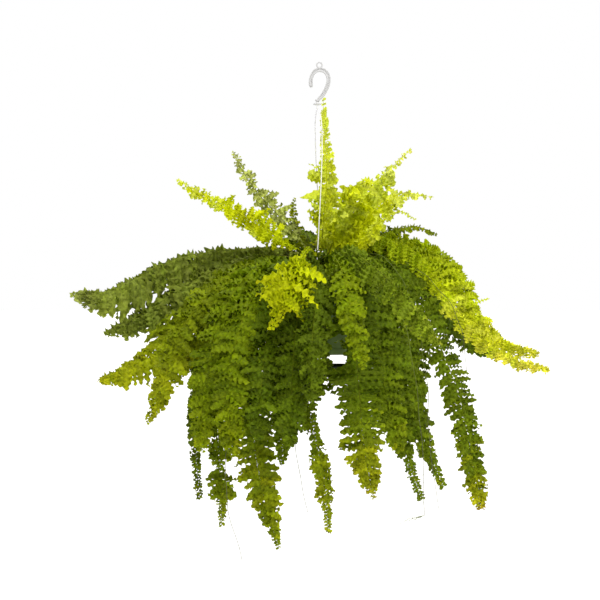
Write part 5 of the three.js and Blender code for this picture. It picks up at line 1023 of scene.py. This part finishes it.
pot_piece = drilled(
    "pot_shell", solids,
    [((48 * math.cos((i + 0.5) / 6 * 2 * math.pi), 48 * math.sin((i + 0.5) / 6 * 2 * math.pi), BASE_Z), 4.5, 14) for i in range(6)],
    [pot_mat],
)
lug_build = Build()
for x, y in lugs:
    h = BASE_Z + 1 - (floor_z + 0.4)
    verts, quads, tris = revolve(rounded([(0, 0), (4.2, 0), (5.0, h), (0, h)], 0.8, 3), 28)
    lug_build.add((verts + [x, y, floor_z + 0.4]) * MM, quads, tris)
lug_piece = lug_build.object("pot_lugs", [pot_mat], with_uv=False)
finish_piece(pot_piece, "pot_plastic", "pot")
finish_piece(lug_piece, "pot_plastic")

dish = [
    (0, -607.5), (30, -607.5), (34, -606.7), (86, -606.7), (87, -607.5), (89, -606.9), (94.6, -589.1), (98.6, -588.3), (99, -587.5), (99, -585.9), (98.4, -585.5), (94.4, -585.5),
    (93.6, -586.3), (85.4, -604.5), (83, -605.5), (0, -605.5),
]
build = Build()
build.add(*[x * MM if i == 0 else x for i, x in enumerate(revolve(rounded(dish, 0.7, 3), 128))])
for x, y in lugs:  # sockets that the lugs click into
    tub = rounded([(5.3, -605.9), (7.8, -605.9), (7.4, -598.5), (6.9, -597.9), (5.6, -597.9), (5.3, -598.5), (5.3, -605.9)], 0.3, 2)
    p = np.array(tub)
    n, sides = len(p), 28
    a = np.arange(sides) / sides * 2 * math.pi
    ring = np.stack([p[:, 0, None] * np.cos(a), p[:, 0, None] * np.sin(a), np.repeat(p[:, 1, None], sides, 1)], -1).reshape(-1, 3)
    i = (np.arange(n - 1)[:, None]) * sides
    k = np.arange(sides)[None]
    k2 = (k + 1) % sides
    quads = np.stack([i + k, i + k2, i + sides + k2, i + sides + k], -1).reshape(-1, 4)
    build.add((ring + [x, y, 0]) * MM, quads)
for i in range(12):  # low radial ribs on the dish floor
    a = (i + 0.5) / 12 * 2 * math.pi
    r = np.linspace(26, 78, 10)
    line = np.stack([r * math.cos(a), r * math.sin(a), np.full(10, -605.4)], 1)
    tube(build, line * MM, 0.9 * MM, 8, side_hint=(-math.sin(a), math.cos(a), 0))
finish_piece(build.object("saucer_dish", [saucer_mat], with_uv=False), "saucer_plastic", "saucer")

# ---- soil and rootstock ---------------------------------------------------------------------
def bumps(x, y, seed, size, octaves=3):
    """Smooth random heights, about -1 to 1."""
    rng = np.random.default_rng(seed)
    out = np.zeros_like(x)
    for o in range(octaves):
        for _ in range(7):
            a = rng.uniform(0, 2 * math.pi)
            f = 2**o / size * rng.uniform(0.7, 1.4)
            out += np.sin((x * math.cos(a) + y * math.sin(a)) * f * 2 * math.pi + rng.uniform(0, 6.28)) / 7 / 1.7**o
    return out


soil_r = lambda z: inner_base + (WALL_TOP_R - 2 - inner_base) * min(1, (z - (BASE_Z + 3.6)) / (RIM_Z - 14 - BASE_Z - 3.6)) - 0.7
low_z = BASE_Z + 4.2
top_r = soil_r(-407.6)
profile = [(0, low_z), (soil_r(low_z) - 1.5, low_z), (top_r, -407.6)]
for r in np.linspace(top_r - 1.5, 2, 42):
    profile.append((r, -401.9 - 3.0 * float(smooth((r - top_r + 9) / 9))))
profile.append((0, -401.9))
verts, quads, tris = revolve(profile, 120)
r = np.hypot(verts[:, 0], verts[:, 1])
h = bumps(verts[:, 0], verts[:, 1], 3, 26, 4) * 1.5
verts[:, 2] += np.where(verts[:, 2] > -408, np.clip(h, -2.4, 2.0), 0) * smooth((r - 77) / 8) * smooth((top_r - r) / 4)
build = Build()
build.add(verts * MM, quads, tris)
rng = np.random.default_rng(77)
OCTA = np.array([[1, 0, 0], [-1, 0, 0], [0, 1, 0], [0, -1, 0], [0, 0, 1], [0, 0, -1]], float)
OCTA_F = np.array([[0, 2, 4], [2, 1, 4], [1, 3, 4], [3, 0, 4], [2, 0, 5], [1, 2, 5], [3, 1, 5], [0, 3, 5]])


def turned(v, rng):
    q = unit(rng.normal(0, 1, 4))
    w, x, y, z = q
    m = np.array([[1 - 2 * (y * y + z * z), 2 * (x * y - w * z), 2 * (x * z + w * y)], [2 * (x * y + w * z), 1 - 2 * (x * x + z * z), 2 * (y * z - w * x)], [2 * (x * z - w * y), 2 * (y * z + w * x), 1 - 2 * (x * x + y * y)]])
    return v @ m.T


def lump(size, rng):
    v, f = OCTA.copy(), OCTA_F
    # one split of each face gives a rough pebble
    mid, new, faces = {}, list(v), []
    def half(i, j):
        key = (min(i, j), max(i, j))
        if key not in mid:
            mid[key] = len(new)
            new.append(unit(v[i] + v[j]))
        return mid[key]
    for a, b, c in f:
        x, y, z = half(a, b), half(b, c), half(c, a)
        faces += [[a, x, z], [x, b, y], [z, y, c], [x, y, z]]
    new = np.array(new) * (1 + 0.22 * rng.normal(0, 1, (len(new), 1)))
    return turned(new * size, rng), np.array(faces)


for k in range(620):
    a, r = rng.uniform(0, 2 * math.pi), math.sqrt(rng.uniform(79**2, (top_r - 4) ** 2))
    white = rng.uniform() < 0.22
    size = rng.uniform(0.8, 2.0, 3) if white else rng.uniform(0.7, 1.6, 3) * [2.0, 1.0, 0.6]
    v, f = lump(size, rng)
    z = -402.2 + rng.uniform(-0.6, 0.8)
    build.add((v + [r * math.cos(a), r * math.sin(a), z]) * MM, tris=f, mat=2 if white else 1)
finish_piece(build.object("soil_mix", [soil_mat, chip_mat, perlite_mat], with_uv=False), "soil", "soil")

profile = [(0, -401.2), (74, -401.2), (76, -400.2)]
rings = [(76, -400.2), (60.8, -395.2), (41.8, -390.4), (21.3, -387.3), (0, -386)]
for q in np.linspace(0.03, 0.97, 34):
    r = 76 * (1 - q)
    profile.append((r, float(np.interp(-r, [-a for a, _ in rings], [b for _, b in rings]))))
profile.append((0, -386.4))
verts, quads, tris = revolve(profile, 110)
r = np.hypot(verts[:, 0], verts[:, 1])
h = bumps(verts[:, 0], verts[:, 1], 9, 17, 4)
verts[:, 2] += np.where(verts[:, 2] > -401, np.clip(h, -1.2, 1.4) * 1.7, 0)
build = Build()
build.add(verts * MM, quads, tris)


def mound(x, y):
    r = np.hypot(x, y)
    return float(np.interp(-r, [-a for a, _ in rings], [b for _, b in rings]))


for k in range(1500):  # papery scales
    a, r = rng.uniform(0, 2 * math.pi), 75 * math.sqrt(rng.uniform())
    x, y = r * math.cos(a), r * math.sin(a)
    root = np.array([x, y, mound(x, y) + 0.3])
    lean = unit(np.array([rng.normal(0, 1), rng.normal(0, 1), rng.uniform(0.1, 1.4)]))
    side = unit(np.cross(lean, rng.normal(0, 1, 3)))
    third = np.cross(lean, side)
    size, w = rng.uniform(3, 8), rng.uniform(0.35, 0.9)
    v = np.array([root + side * w, root - side * w, root + third * 0.3, root + lean * size + third * rng.normal(0, 0.8), root + lean * size * 0.5 + third * 0.5 + side * w * 0.9])
    f = np.array([[0, 1, 2], [0, 4, 1], [4, 3, 1], [0, 2, 4], [4, 2, 3], [2, 1, 3]])
    build.add(v * MM, tris=f, mat=1)
for k in range(11):  # unopened fronds, still coiled
    a, r = rng.uniform(0, 2 * math.pi), rng.uniform(8, 60)
    x, y = r * math.cos(a), r * math.sin(a)
    out = np.array([math.cos(a), math.sin(a), 0]) * 0.35
    tall = rng.uniform(16, 52)
    stem = [np.array([x, y, mound(x, y) - 1]) + (out * (q**2) * tall) + UP * q * tall for q in np.linspace(0, 1, 14)]
    plane = unit(np.array([math.cos(a), math.sin(a), 0]))
    coil_r = rng.uniform(3.4, 5.2)
    hub = stem[-1] + plane * coil_r
    coil = []
    for q in np.linspace(0.06, 1, 40):
        th = math.pi - q * 2.4 * 2 * math.pi
        rr = coil_r * (1 - 0.86 * q)
        coil.append(hub + plane * math.cos(th) * rr + UP * math.sin(th) * rr)
    line = np.array(stem + coil)
    radius = np.concatenate([np.linspace(1.5, 1.2, 14), np.linspace(1.2, 0.6, 40)])
    tube(build, line * MM, radius * MM, 8, mat=2, side_hint=np.cross(plane, UP))
    for i in range(4, len(line) - 6, 2):  # brown hairs
        for _ in range(2):
            d = unit(rng.normal(0, 1, 3))
            hair = line[i] + d * np.linspace(0.8, 3.2, 4)[:, None]
            tube(build, hair * MM, np.linspace(0.16, 0.05, 4) * MM, 3, mat=1)
finish_piece(build.object("crown_rootstock", [root_mat, scale_mat, crozier_mat], with_uv=True), "rootstock", "crown")

# ---- floor, light -----------------------------------------------------------------------------
fb = Build()
n = 24
gx, gy = np.meshgrid(np.linspace(-1, 1, n + 1), np.linspace(-1, 1, n + 1), indexing="ij")
spread = lambda t: np.sign(t) * (np.abs(t) ** 2.2) * 180
verts = np.stack([spread(gx), spread(gy), np.full_like(gx, -1.42)], -1).reshape(-1, 3)
i, k = np.arange(n)[:, None] * (n + 1), np.arange(n)[None]
fb.add(verts, np.stack([i + k, i + n + 1 + k, i + n + 2 + k, i + k + 1], -1).reshape(-1, 4))
g = Graph("floor")
speck = g.noise(g.coords(), 3.0, 4.0, 0.5)
colour = g.mix(g.range(speck, 0.3, 0.7, 0.0, 1.0), (0.90, 0.90, 0.895, 1), (0.93, 0.93, 0.93, 1))
p = g.principled(Base_Color=colour, Roughness=g.range(speck, 0.3, 0.7, 0.8, 0.9))
g.link(p.outputs[0], g.out.inputs["Surface"])
fb.object("floor", [g.m], with_uv=False)

world = bpy.data.worlds.new("studio")
scene.world = world
world.use_nodes = True
wt = world.node_tree
wt.nodes.clear()
wout = wt.nodes.new("ShaderNodeOutputWorld")
back = wt.nodes.new("ShaderNodeBackground")
back.inputs[0].default_value = (1, 1, 1, 1)
back.inputs[1].default_value = 1.0
fill = wt.nodes.new("ShaderNodeBackground")
fill.inputs[0].default_value = (1.0, 0.99, 0.97, 1)
fill.inputs[1].default_value = 0.5
path = wt.nodes.new("ShaderNodeLightPath")
wmix = wt.nodes.new("ShaderNodeMixShader")
wt.links.new(path.outputs["Is Camera Ray"], wmix.inputs[0])
wt.links.new(fill.outputs[0], wmix.inputs[1])
wt.links.new(back.outputs[0], wmix.inputs[2])
wt.links.new(wmix.outputs[0], wout.inputs[0])


def sun(name, toward, strength, angle, colour=(1, 1, 1)):
    data = bpy.data.lights.new(name, "SUN")
    data.energy = strength
    data.angle = math.radians(angle)
    data.color = colour
    ob = bpy.data.objects.new(name, data)
    scene.collection.objects.link(ob)
    ob.rotation_euler = Vector(toward).to_track_quat("-Z", "Y").to_euler()
    return ob


sun("key", (-0.25, 0.6, -1.0), 3.1, 36, (1.0, 0.985, 0.95))
sun("top_back", (0.3, -0.6, -1.0), 1.0, 60)

scene.view_settings.view_transform = "Standard"
scene.view_settings.look = "None"
scene.view_settings.exposure = 0
scene.view_settings.gamma = 1
